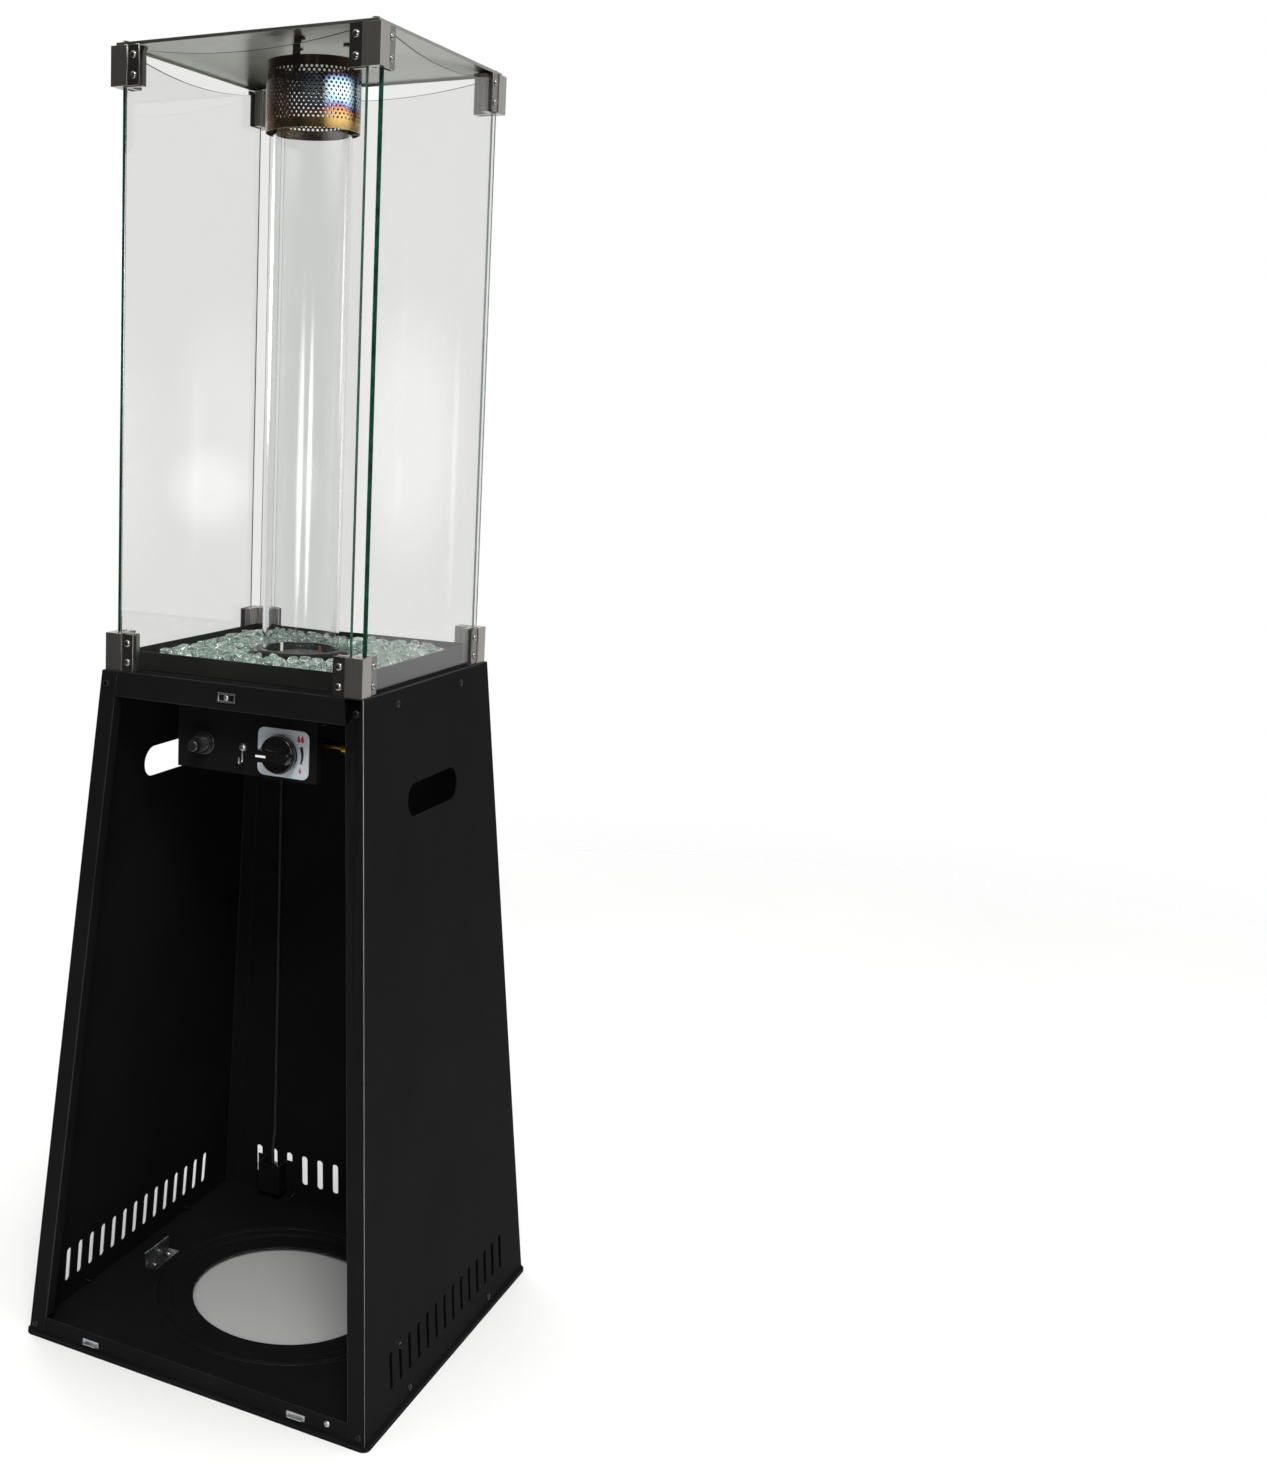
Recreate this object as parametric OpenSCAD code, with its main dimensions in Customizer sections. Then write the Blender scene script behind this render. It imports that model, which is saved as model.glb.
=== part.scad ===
// Square patio heater: a sheet steel cabinet for a gas bottle, and a glass lantern with a flame tube.
// Millimetres. X is to the right, Y to the back, Z up. The origin is on the floor under the centre.

/* [Cabinet] */
// How far the lip stands out round the panels
lip_out = 4; // [3:0.5:20]
// Thickness of the lip that the panels stand on
lip_h = 4; // [3:0.5:8]
// Corner radius of the base plate
base_corner_r = 9; // [4:1:16]
// Width over the panels at the lip
cabinet_w = 419; // [400:1:440]
// Width over the panels at the deck
deck_w = 313; // [311:1:330]
// Height of the panels, from the lip to the deck
cabinet_h = 743; // [680:1:800]
// Thickness of the steel sheet
sheet = 1.2; // [0.8:0.1:1.6]
// Width of the front posts that are folded from the side panels
post_w = 20; // [16:1:30]
// Depth of the fold behind each front post
post_fold = 14; // [8:1:24]
// Height of the crossbar over the door opening
crossbar_h = 27; // [22:1:40]
// Height of the sill under the door opening
sill_h = 18; // [14:1:30]
// Height of the raised floor over the lip
floor_rise = 6; // [4:0.5:12]

/* [Bottle seat] */
// Diameter of the hole in the floor
hole_d = 216; // [160:1:240]
// Diameter of the stepped seat round the hole
seat_d = 270; // [245:1:300]
// Depth of the stepped seat
seat_drop = 2.5; // [1.5:0.5:4]
// Diameter of the raised bead round the seat
bead_d = 300; // [285:1:302]
// Length of each angle bracket on the floor
bracket_l = 50; // [30:1:70]
// Width of each leg of the angle bracket
bracket_w = 17; // [12:1:24]
// Distance of the brackets from the middle
bracket_x = 171; // [168:1:178]

/* [Vents and hand slots] */
// Number of vents in each side panel
side_vents = 14; // [8:1:15]
// Number of vents in the back panel
back_vents = 15; // [8:1:15]
// Spacing of the vents
vent_pitch = 22.3; // [16:0.1:24]
// Width of a vent
vent_w = 8; // [5:0.5:10]
// Height of a vent
vent_h = 40; // [25:1:60]
// Height of the middle of the vents over the lip
vent_z = 48; // [40:1:80]
// Length of a hand slot
hand_l = 125; // [100:1:140]
// Height of a hand slot
hand_h = 35; // [28:1:42]
// Distance of the hand slots below the deck
hand_drop = 120; // [90:1:200]

/* [Lantern] */
// Width over the corner clamps
lantern_w = 308; // [304:1:309]
// Height of the lantern, from the deck to the top of the clamps
lantern_h = 645; // [500:1:750]
// Height of a corner clamp
clamp_h = 40.5; // [30:0.5:50]
// Length of a clamp's legs
clamp_leg = 34; // [30:1:40]
// Depth of a clamp's legs
clamp_depth = 17; // [15:0.5:18]
// Width of the thin jaw at the end of a clamp's leg
jaw_w = 14; // [11:0.5:16]
// Step from the clamp's face down to the thin jaw
jaw_step = 1.2; // [0.5:0.1:1.5]
// Thickness of the glass panes
glass_t = 5; // [4:0.5:6]
// Distance of the glass behind the clamp's face
glass_inset = 4; // [3.5:0.1:5]
// Thickness of the soft pads beside the glass
pad_t = 1; // [0.6:0.1:1.2]
// Thickness of the soft pads under the glass
pad_foot = 3; // [1:0.5:6]
// Distance from the clamp's corner to the end of a pane
glass_end = 16; // [13.5:0.5:18]
// Gap from the ends of a pane's top edge to the roof
glass_top_gap = 2; // [1:0.5:8]
// Sag of the concave top edge of a pane
glass_sag = 14; // [5:1:30]

/* [Roof] */
// Width of the roof plate
roof_w = 300; // [290:1:303]
// Height of the roof's folded edge
roof_edge = 3.5; // [2.5:0.5:8]
// Rise from the folded edge to the flat middle
roof_rise = 16; // [8:1:20]
// Width of the flat middle
roof_flat = 100; // [95:1:140]
// Thickness of the roof sheet
roof_t = 1.2; // [0.8:0.1:1.6]

/* [Fire] */
// Width of the fire tray
tray_w = 272; // [240:1:273]
// Height of the tray's wall
tray_h = 21.5; // [16:0.5:30]
// Outside diameter of the flame tube
tube_d = 85; // [75:1:90]
// Wall of the flame tube
tube_wall = 3.5; // [2.5:0.5:5]
// How far the flame tube stands inside the collar
tube_overlap = 9; // [4:1:20]
// Outside diameter of the perforated collar
collar_d = 101; // [97:1:110]
// Height of the perforated collar
collar_h = 72.5; // [60:0.5:76]
// Sheet of the perforated collar
collar_t = 1; // [0.8:0.1:1.2]
// Gap from the collar up to the flat middle of the roof
collar_gap = 20; // [18:0.5:40]
// Holes in one row of the collar
perf_columns = 32; // [20:1:36]
// Rows of holes in the collar
perf_rows = 8; // [5:1:8]
// Diameter of a hole in the collar
perf_d = 5; // [3:0.1:5.4]
// Spacing of the rows of holes
perf_pitch = 6.2; // [5.6:0.1:6.6]
// Distance of the legs from the middle of the collar
leg_r = 38; // [34:0.5:42]
// Outside diameter of the burner cup
cup_d = 104; // [100:1:112]
// Height of the burner cup over the tray's floor
cup_h = 19; // [16:0.5:24]
// Size of the glass pebbles
pebble_d = 23; // [16:1:24]
// Spacing of the glass pebbles
pebble_pitch = 24.2; // [24.2:0.1:28]
// Depth of the lower layer of pebbles
pebble_t = 10; // [7:0.5:11]

/* [Controls] */
// Width of the control panel
panel_w = 170; // [150:1:190]
// Height of the control panel below the deck
panel_h = 101; // [95:1:130]
// Distance of the control panel in front of the middle
panel_y = 116; // [112:1:120]
// Distance of the controls below the deck
control_drop = 73; // [70:1:78]
// Place of the knob, to the right of the middle
knob_x = 46; // [42:1:50]
// Place of the igniter, to the left of the middle
igniter_x = 51; // [40:1:60]
// Diameter of the knob
knob_d = 40; // [34:1:44]
// Depth of the knob with its grip
knob_depth = 22; // [18:0.5:28]
// Travel of the knob when it is pushed in
knob_push = 4; // [2:0.5:5]
// Diameter of the valve stem
stem_d = 8; // [6:0.5:9]
// Running clearance of the stem and of the igniter button
run_gap = 0.06; // [0.03:0.01:0.09]
// Width of the bezel plate
bezel_w = 61; // [50:1:66]
// Height of the bezel plate
bezel_h = 51; // [44:1:56]
// Thickness of the bezel plate
bezel_t = 1.5; // [1:0.1:2.5]
// Diameter of the igniter button
button_d = 14; // [11:0.5:16]
// Travel of the igniter button
button_push = 6; // [3:0.5:7]
// Diameter of the igniter's nut
nut_d = 26; // [23:0.5:30]
// Diameter of the gas inlet's thread
inlet_d = 13.16; // [9:0.01:18]
// Length of the gas inlet's thread
inlet_l = 13; // [8:0.5:16]

/* [Hidden] */
$fn = 48;

// how far a cut runs past the face that it opens
over = 1;
// running space under the panels, between sheets side by side, at seams, and under what is set down
foot_gap = 0.2;
set_gap = 0.3;
seam_gap = 1;
seat_gap = 0.3;
touch_gap = 0.2;

// cabinet
base_w = cabinet_w + 2 * lip_out;
deck_z = lip_h + cabinet_h;
lantern_top = deck_z + lantern_h;
floor_z = lip_h + floor_rise;
tilt = atan((cabinet_w - deck_w) / 2 / cabinet_h);
slant = cabinet_h / cos(tilt);
pan_gap = 1.5;
pan_w = cabinet_w - 4 * sheet - 2 * pan_gap;
deck_in = deck_w - 4 * sheet - 2 * set_gap;
deck_flange = 18;
return_w = 12;
bead_w = 5;

// button screws, and where they sit on the panels
head_d = 8;
small_head_d = 7;
head_h = 2.4;
shank_d = 4;
screw_hole_d = 5;
hole_depth = 9;
screw_l = 8;
post_screw_in = 7.2;
top_screw_drop = 14;
foot_screw_up = 7.5;
side_screw_in = 77;
side_foot_in = 103;
side_foot_up = 10;

// sill and door catch
door_slot_in = 81;
door_slot_x = cabinet_w / 2 - door_slot_in;
door_slot_w = 22;
door_slot_h = 7;
door_slot_up = 6;
clip_t = 1;
clip_margin = 6;
clip_w = door_slot_w + clip_margin;
clip_h = door_slot_h + clip_margin / 2;
sill_screw_in = 44;
sill_screw_x = cabinet_w / 2 - sill_screw_in;
sill_screw_up = 10;
sill_screw_l = 6;
catch_w = 21;
catch_h = 10;
catch_t = 2;
catch_rim = 1.5;
catch_head_d = 6;
catch_head_h = 1.6;
catch_screw_l = 3;

// floor brackets
bracket_t = 2;
bracket_y = -15;
bracket_screw_l = 5;
bracket_screw_span = 30;

// tip-over switch, its guard and its gland
switch_in = 79;
switch_x = cabinet_w / 2 - switch_in;
switch_w = 26;
switch_d = 20;
switch_h = 34;
switch_up = 16;
gland_d = 9;
gland_l = 4;
guard_gap = 1;
guard_h = switch_h + 6;

// fire
tray_floor = deck_z + sheet;
tube_lift = 6;
tube_low = tray_floor + tube_lift;
tube_fit = 0.6;
collar_top = lantern_top + roof_edge + roof_rise - roof_t - collar_gap;
collar_low = collar_top - collar_h;
perf_lift = 2;
tab_w = 10;
leg_turns = [30, 150, 270];
leg_w = 8;
leg_t = 1.5;
leg_foot = 5;
cup_notches = 16;
cup_bevel = 3;
cup_ledge = 1;
notch_w = 6;
notch_h = 7;
notch_up = 4;
burner_r = tube_d / 2 - tube_wall - 4;
burner_h = 9;
crown_h = 4;
crown_in = 8;
port_rings = 3;
port_d = 3;

// pebbles: the rim's radius as a share of the depth, and how much they vary
pebble_bulge = 0.62;
lower_vary = 0.12;
upper_vary = 0.22;
depth_vary = 0.25;
lean_most = 18;
bare_share = 0.25;

// roof and lantern
roof_pad = 24;
head_clear = 0.1;
clamp_screw_in = 11;
clamp_screw_l = 10;
clamp_bore = 5;
groove_r = 1.2;
grooves = 3;
slot_spare = 0.5;
jaw_head_d = 8;
jaw_head_h = 2.2;
jaw_screw_l = 1.5;
pad_short = 1;

// control panel, bezel and knob
control_z = deck_z - control_drop;
stem_hole_d = stem_d + 4;
bezel_r = 8;
knob_clear = 1.5;
knob_gap = knob_push + knob_clear;
knob_skirt = 9;
knob_round = 2;
knob_bore_d = stem_d + 0.8;
grip_w = 13;
grip_in = 1.5;
grip_waist = 1.5;
pointer_w = 2.4;
pointer_l = 12;
pointer_t = 0.8;
pointer_in = 2.7;
stem_in = 12;
stem_back = 14;
washer_w = 3;
washer_t = 0.8;

// valve, inlet, pipe and mixing tube
valve_depth = 38;
valve_back = -panel_y + sheet + valve_depth;
valve_w = 30;
valve_h = 34;
valve_neck_d = stem_d + 14;
valve_neck_l = 10;
inlet_boss_d = 16;
inlet_boss_l = 5;
inlet_y = valve_back - 20;
inlet_z = control_z + 10;
inlet_pipe_d = 7;
inlet_nut_d = 12;
inlet_nut_l = 3;
inlet_x = 106;
pipe_d = 6;
pipe_bend = 12;
pipe_z = control_z - 8;
pipe_rise = 8;
mixer_d = 26;
mixer_wall = 2;
mixer_hole_d = 34;
mixer_low = pipe_z + pipe_bend + pipe_rise;
mixer_floor = 3;
mixer_in = 5;
mixer_flange = 5;
mixer_flange_t = 3;
air_hole_d = 9;
air_hole_up = 12;

// the thermocouple and the electrode reach up through the burner head
rod_d = 3;
rod_hole_d = 5;
rod_r = 24;
rod_top = 24;
couple_low = 30;
couple_tail_d = 2.4;
electrode_low = 26;
insulator_d = 8;
insulator_l = 18;

// igniter
barrel_d = 18;
barrel_l = 46;
barrel_hole_d = barrel_d + 0.8;
neck_l = 16;
flange_t = 3;
rib_pitch = 3;
rib_groove = 1.2;
ribs = 3;
nut_t = 6;
nut_rim = 2;
button_guide = 7;
button_out = button_push + 4;
button_cap = 2;
button_taper = 3;
button_spare = 1;

// hook
hook_x = -3;
hook_plate_d = 9;
hook_plate_t = 1.2;
hook_wire = 2.4;
hook_hang = 4;
hook_drop = 9;
hook_bend = 3.5;
hook_tip = 4;
hook_head_d = 7.5;
hook_head_h = 2.2;
hook_screw_l = 6;

// the leads and the thermocouple's tail, from end to end
switch_lead_d = 4;
switch_lead_x = 38;
switch_lead_up = 12;
switch_lead_hold = -2 * sheet - switch_lead_d / 2;
switch_lead_route = [
    back_point(switch_x, switch_up + switch_h + gland_l + touch_gap, -sheet - switch_d / 2),
    back_point(switch_x, switch_up + switch_h + 20, -sheet - switch_d / 2),
    back_point(switch_x, switch_up + switch_h + 50, switch_lead_hold),
    back_point(switch_x - 20, slant - 80, switch_lead_hold),
    back_point(switch_x - 22, slant - 40, switch_lead_hold - 20),
    [-60, 60, control_z + 35],
    [60, 45, control_z + 30],
    [switch_lead_x, valve_back + 40, control_z + switch_lead_up],
    [switch_lead_x, valve_back + seat_gap, control_z + switch_lead_up]
];
couple_x = knob_x + 8;
couple_up = 12;
couple_route = [
    [rod_r, 0, deck_z - couple_low],
    [rod_r + 6, -20, deck_z - 46],
    [couple_x, valve_back + 20, control_z + couple_up],
    [couple_x, valve_back + touch_gap, control_z + couple_up]
];
igniter_lead_d = 3.2;
igniter_lead_route = [
    [-igniter_x, -panel_y + barrel_l + touch_gap, control_z],
    [-igniter_x, -panel_y + barrel_l + 25, control_z],
    [-rod_r - 8, -12, deck_z - 50],
    [-rod_r, 0, deck_z - 40],
    [-rod_r, 0, deck_z - electrode_low - touch_gap]
];

// colours
black = [0.06, 0.06, 0.065];
alloy = [0.72, 0.73, 0.74];
steel = [0.78, 0.79, 0.8];
brass = [0.72, 0.56, 0.27];
clear_glass = [0.75, 0.9, 0.86, 0.35];
white = [0.88, 0.92, 0.94];
rubber = [0.12, 0.12, 0.12];
plastic = [0.09, 0.09, 0.095];
stainless = [0.62, 0.63, 0.6];
tinted = [0.45, 0.36, 0.26];
copper = [0.7, 0.5, 0.35];
ceramic = [0.9, 0.9, 0.86];

// half the width of a panel at a distance v up its slope
function half_w(v) = cabinet_w / 2 - v * sin(tilt);

// a point on a panel's face: u across, v up the slope, w out of the face
function back_point(u, v, w) = [
    -u,
    cabinet_w / 2 - v * sin(tilt) + w * cos(tilt),
    lip_h + v * cos(tilt) + w * sin(tilt)
];

// the screws of one panel, as places across and up the slope
function screw_spots(turn) = turn == 0
    ? [for (side = [-1, 1], v = [foot_screw_up, slant - top_screw_drop])
        [side * (half_w(v) - post_screw_in), v]]
    : [for (side = [-1, 1], up = [0, 1])
        up ? [side * (half_w(slant) - side_screw_in), slant - top_screw_drop]
            : [side * (half_w(side_foot_up) - side_foot_in), side_foot_up]];

// draws on the outer face of a panel: 0 front, 90 right, 180 back, 270 left
module on_face(turn) {
    rotate([0, 0, turn])
        translate([0, -cabinet_w / 2, lip_h])
            rotate([90 - tilt, 0, 0])
                children();
}

module rounded_rectangle(w, h, r) {
    union() {
        square([w, h - 2 * r], center = true);
        square([w - 2 * r, h], center = true);
        for (x = [-1, 1], y = [-1, 1]) {
            translate([x * (w / 2 - r), y * (h / 2 - r)]) circle(r);
        }
    }
}

module stadium(l, w) {
    union() {
        square([l - w, w], center = true);
        for (side = [-1, 1]) {
            translate([side * (l - w) / 2, 0]) circle(d = w);
        }
    }
}

// a strip that follows a panel's edge, from one distance inside it to another
module edge_strip(side, inner, outer, low, high) {
    polygon([
        [side * (half_w(low) - inner), low],
        [side * (half_w(low) - outer), low],
        [side * (half_w(high) - outer), high],
        [side * (half_w(high) - inner), high]
    ]);
}

module screw_holes(turn) {
    on_face(turn) {
        for (spot = screw_spots(turn)) {
            translate([spot[0], spot[1], -hole_depth - over])
                cylinder(d = screw_hole_d, h = hole_depth + 2 * over);
        }
    }
}

// a button screw along -Z, with its seat at the origin
module button_screw(d, h, shank, l) {
    dome_r = (d * d / 4 + h * h) / (2 * h);
    rotate_extrude() {
        intersection() {
            translate([0, h - dome_r]) circle(dome_r);
            square([d, h]);
        }
    }
    translate([0, 0, -l]) cylinder(d = shank, h = l);
}

// a round rod along a list of points, with a ball at each bend that is a little wider than the rod
module rod_run(points, d) {
    bend_swell = 1.04;
    for (i = [0 : len(points) - 2]) {
        step = points[i + 1] - points[i];
        flat = norm([step[0], step[1]]);
        translate(points[i])
            rotate([0, atan2(flat, step[2]), atan2(step[1], step[0])])
                cylinder(d = d, h = norm(step));
    }
    for (i = [1 : 1 : len(points) - 2]) {
        translate(points[i]) sphere(d = d * bend_swell);
    }
}

// Cabinet

module base_plate() {
    under = floor_z - sheet;
    color(black) difference() {
        union() {
            linear_extrude(lip_h) rounded_rectangle(base_w, base_w, base_corner_r);
            linear_extrude(floor_z) rounded_rectangle(pan_w, pan_w, base_corner_r);
            translate([0, 0, floor_z])
                rotate_extrude() translate([bead_d / 2, 0]) intersection() {
                    circle(d = bead_w);
                    translate([-bead_w, 0]) square([2 * bead_w, bead_w]);
                }
        }
        difference() {
            translate([0, 0, -over]) linear_extrude(under + over)
                rounded_rectangle(pan_w - 2 * sheet, pan_w - 2 * sheet, base_corner_r - sheet);
            translate([0, 0, under - seat_drop])
                cylinder(d = seat_d + 2 * sheet, h = seat_drop + over);
        }
        translate([0, 0, floor_z - seat_drop]) cylinder(d = seat_d, h = floor_z);
        translate([0, 0, -over]) cylinder(d = hole_d, h = floor_z + 2 * over);
        for (turn = [0, 90, 180, 270]) screw_holes(turn);
        bracket_screw_spots() translate([0, 0, -bracket_screw_l - over])
            cylinder(d = screw_hole_d, h = bracket_screw_l + 2 * over);
    }
}

module vent_row(count) {
    for (i = [0 : count - 1]) {
        translate([(i - (count - 1) / 2) * vent_pitch, vent_z])
            rotate(90) stadium(vent_h, vent_w);
    }
}

// the right panel: its front post turns the corner onto the front, its rear flange lies in the back
module side_panel() {
    hand_v = (cabinet_h - hand_drop) / cos(tilt);
    color(black) difference() {
        union() {
            on_face(90) translate([0, 0, -sheet]) linear_extrude(sheet) difference() {
                polygon([
                    [-half_w(foot_gap), foot_gap],
                    [half_w(foot_gap), foot_gap],
                    [half_w(slant), slant],
                    [-half_w(slant), slant]
                ]);
                vent_row(side_vents);
                translate([0, hand_v]) stadium(hand_l, hand_h);
            }
            on_face(0) {
                translate([0, 0, -sheet]) linear_extrude(sheet)
                    edge_strip(1, post_w, 0, foot_gap, slant);
                translate([0, 0, -post_fold]) linear_extrude(post_fold)
                    edge_strip(1, post_w, post_w - sheet, sill_h + seam_gap, slant - crossbar_h - seam_gap);
            }
            on_face(180) translate([0, 0, -2 * sheet]) linear_extrude(sheet)
                edge_strip(-1, post_w, sheet / 2, foot_gap, slant - deck_flange - 2 * seam_gap);
        }
        screw_holes(0);
        screw_holes(90);
    }
}

module right_side_panel() {
    side_panel();
}

module left_side_panel() {
    mirror([1, 0, 0]) side_panel();
}

module back_panel() {
    in = sheet + set_gap;
    color(black) difference() {
        on_face(180) translate([0, 0, -sheet]) linear_extrude(sheet) difference() {
            polygon([
                [-half_w(foot_gap) + in, foot_gap],
                [half_w(foot_gap) - in, foot_gap],
                [half_w(slant) - in, slant],
                [-half_w(slant) + in, slant]
            ]);
            vent_row(back_vents);
        }
        screw_holes(180);
    }
}

module front_crossbar() {
    low = slant - crossbar_h;
    in = sheet + set_gap;
    color(black) difference() {
        on_face(0) {
            translate([0, 0, -2 * sheet]) linear_extrude(sheet) polygon([
                [-half_w(low) + in, low],
                [half_w(low) - in, low],
                [half_w(slant) - in, slant],
                [-half_w(slant) + in, slant]
            ]);
            translate([0, low + sheet / 2, -return_w / 2 - sheet])
                cube([2 * (half_w(slant) - post_w), sheet, return_w], center = true);
        }
        screw_holes(0);
        on_face(0) translate([0, slant - top_screw_drop, -hole_depth])
            cylinder(d = screw_hole_d, h = hole_depth);
    }
}

module front_sill() {
    in = sheet + set_gap;
    color(black) difference() {
        union() {
            on_face(0) translate([0, 0, -2 * sheet]) linear_extrude(sheet) polygon([
                [-half_w(foot_gap) + in, 2 * foot_gap],
                [half_w(foot_gap) - in, 2 * foot_gap],
                [half_w(sill_h) - in, sill_h],
                [-half_w(sill_h) + in, sill_h]
            ]);
            translate([0, -cabinet_w / 2 + 1.5 * sheet + floor_rise * tan(tilt), floor_z])
                translate([-pan_w / 2 + 2 * return_w, 0, 0])
                    cube([pan_w - 4 * return_w, return_w, sheet]);
        }
        screw_holes(0);
        on_face(0) {
            for (side = [-1, 1]) {
                translate([side * door_slot_x, door_slot_up, -3 * sheet])
                    linear_extrude(4 * sheet) square([door_slot_w, door_slot_h], center = true);
                translate([side * door_slot_x, door_slot_up, -2 * sheet - clip_t - set_gap])
                    linear_extrude(clip_t + set_gap)
                        square([clip_w + 2 * set_gap, clip_h + 2 * set_gap], center = true);
            }
            translate([sill_screw_x, sill_screw_up, -hole_depth]) cylinder(d = screw_hole_d, h = hole_depth);
        }
    }
}

module top_deck() {
    color(black) difference() {
        union() {
            translate([-deck_in / 2, -deck_in / 2, deck_z - sheet]) cube([deck_in, deck_in, sheet]);
            translate([0, 0, deck_z - deck_flange]) linear_extrude(deck_flange) difference() {
                square(deck_in, center = true);
                square(deck_in - 2 * sheet, center = true);
            }
        }
        translate([0, 0, deck_z - 2 * sheet]) cylinder(d = mixer_hole_d, h = 3 * sheet);
        for (turn = [0, 90, 180, 270]) screw_holes(turn);
        clamp_screw_spots(deck_z - 2 * sheet) cylinder(d = screw_hole_d, h = 3 * sheet);
        rod_spots() translate([0, 0, deck_z - 2 * sheet]) cylinder(d = rod_hole_d, h = 3 * sheet);
    }
}

module panel_screws() {
    color(black) {
        for (turn = [0, 90, 180, 270]) {
            on_face(turn) {
                for (spot = screw_spots(turn)) {
                    translate([spot[0], spot[1], 0]) button_screw(head_d, head_h, shank_d, screw_l);
                }
            }
        }
    }
}

module sill_screw() {
    color(steel) on_face(0) translate([sill_screw_x, sill_screw_up, -sheet])
        button_screw(small_head_d, head_h, shank_d, sill_screw_l);
}

// bright spring clips behind the sill's two slots, that the door's tabs snap into
module door_clips() {
    color(steel) on_face(0) {
        for (side = [-1, 1]) {
            translate([side * door_slot_x, door_slot_up, -2 * sheet - clip_t])
                linear_extrude(clip_t) square([clip_w, clip_h], center = true);
            translate([side * door_slot_x, door_slot_up - door_slot_h / 4, -2 * sheet])
                linear_extrude(3 * sheet) square([door_slot_w - clip_margin, clip_t], center = true);
        }
    }
}

module door_catch() {
    color(steel) on_face(0) translate([0, slant - top_screw_drop, -sheet]) difference() {
        linear_extrude(catch_t) square([catch_w, catch_h], center = true);
        translate([0, 0, -over]) cylinder(d = screw_hole_d, h = catch_t + 2 * over);
        translate([0, 0, catch_t / 2]) linear_extrude(catch_t)
            square([catch_w - 2 * catch_rim, catch_h - 2 * catch_rim], center = true);
    }
}

module door_catch_screw() {
    color(steel) on_face(0) translate([0, slant - top_screw_drop, catch_t / 2 - sheet])
        button_screw(catch_head_d, catch_head_h, shank_d, catch_screw_l);
}

// Floor

module bracket_screw_spots() {
    for (side = [-1, 1], end = [-1, 1]) {
        translate([side * (bracket_x - bracket_w / 2), bracket_y + end * bracket_screw_span / 2, floor_z])
            children();
    }
}

module floor_brackets() {
    color(steel) difference() {
        for (side = [-1, 1]) {
            translate([side * bracket_x, bracket_y + bracket_l / 2, floor_z])
                rotate([90, 0, 0]) linear_extrude(bracket_l) mirror([side > 0 ? 1 : 0, 0]) polygon([
                    [0, 0],
                    [bracket_w, 0],
                    [bracket_w, bracket_t],
                    [bracket_t, bracket_t],
                    [bracket_t, bracket_w],
                    [0, bracket_w]
                ]);
        }
        bracket_screw_spots() translate([0, 0, -over])
            cylinder(d = screw_hole_d, h = bracket_t + 2 * over);
    }
}

module bracket_screws() {
    color(steel) bracket_screw_spots() translate([0, 0, bracket_t])
        button_screw(small_head_d, head_h, shank_d, bracket_screw_l);
}

// the tip-over switch is a sealed can on the back panel
module tip_switch() {
    color(rubber) on_face(180) translate([switch_x, switch_up, -sheet]) {
        translate([-switch_w / 2, 0, -switch_d]) cube([switch_w, switch_h, switch_d]);
        translate([0, switch_h, -switch_d / 2]) rotate([-90, 0, 0]) cylinder(d = gland_d, h = gland_l);
    }
}

module tip_switch_guard() {
    w = switch_w + 2 * guard_gap + 2 * sheet;
    d = switch_d + guard_gap + sheet;
    color(black) on_face(180) translate([switch_x, switch_up + guard_gap, -sheet]) {
        translate([0, guard_h, 0]) rotate([90, 0, 0]) linear_extrude(guard_h) difference() {
            translate([-w / 2, -d]) square([w, d]);
            translate([-w / 2 + sheet, -d + sheet]) square([w - 2 * sheet, d]);
        }
        for (side = [-1, 1]) {
            translate([side * (w / 2 + return_w / 2 - sheet / 2), guard_h / 2, -sheet / 2])
                cube([return_w + sheet, guard_h, sheet], center = true);
        }
    }
}

// runs up the back panel and forward under the deck to the valve
module tip_switch_lead() {
    color(rubber) rod_run(switch_lead_route, switch_lead_d);
}

// Fire

module fire_tray() {
    color(black) difference() {
        translate([0, 0, deck_z]) linear_extrude(tray_h) square(tray_w, center = true);
        translate([0, 0, tray_floor]) linear_extrude(tray_h) square(tray_w - 2 * sheet, center = true);
        translate([0, 0, deck_z - over]) cylinder(d = mixer_hole_d, h = sheet + 2 * over);
        rod_spots() translate([0, 0, deck_z - over]) cylinder(d = rod_hole_d, h = sheet + 2 * over);
    }
}

// one flat pebble with a bulging rim, its underside at the origin
module pebble(d, t) {
    rim_r = pebble_bulge * t;
    rotate_extrude() intersection() {
        union() {
            translate([d / 2 - rim_r, t / 2]) circle(rim_r);
            square([d / 2 - rim_r, t]);
        }
        square([d, t]);
    }
}

// the radius of a pebble's flat underside
function pebble_foot(d, t) = d / 2 - t * (pebble_bulge - sqrt(pebble_bulge * pebble_bulge - 0.25));

// whether a place in the tray has room for a pebble beside the cup
function pebble_fits(x, y) = norm([x, y]) > cup_d / 2 + pebble_d / 2 + seat_gap;

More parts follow.
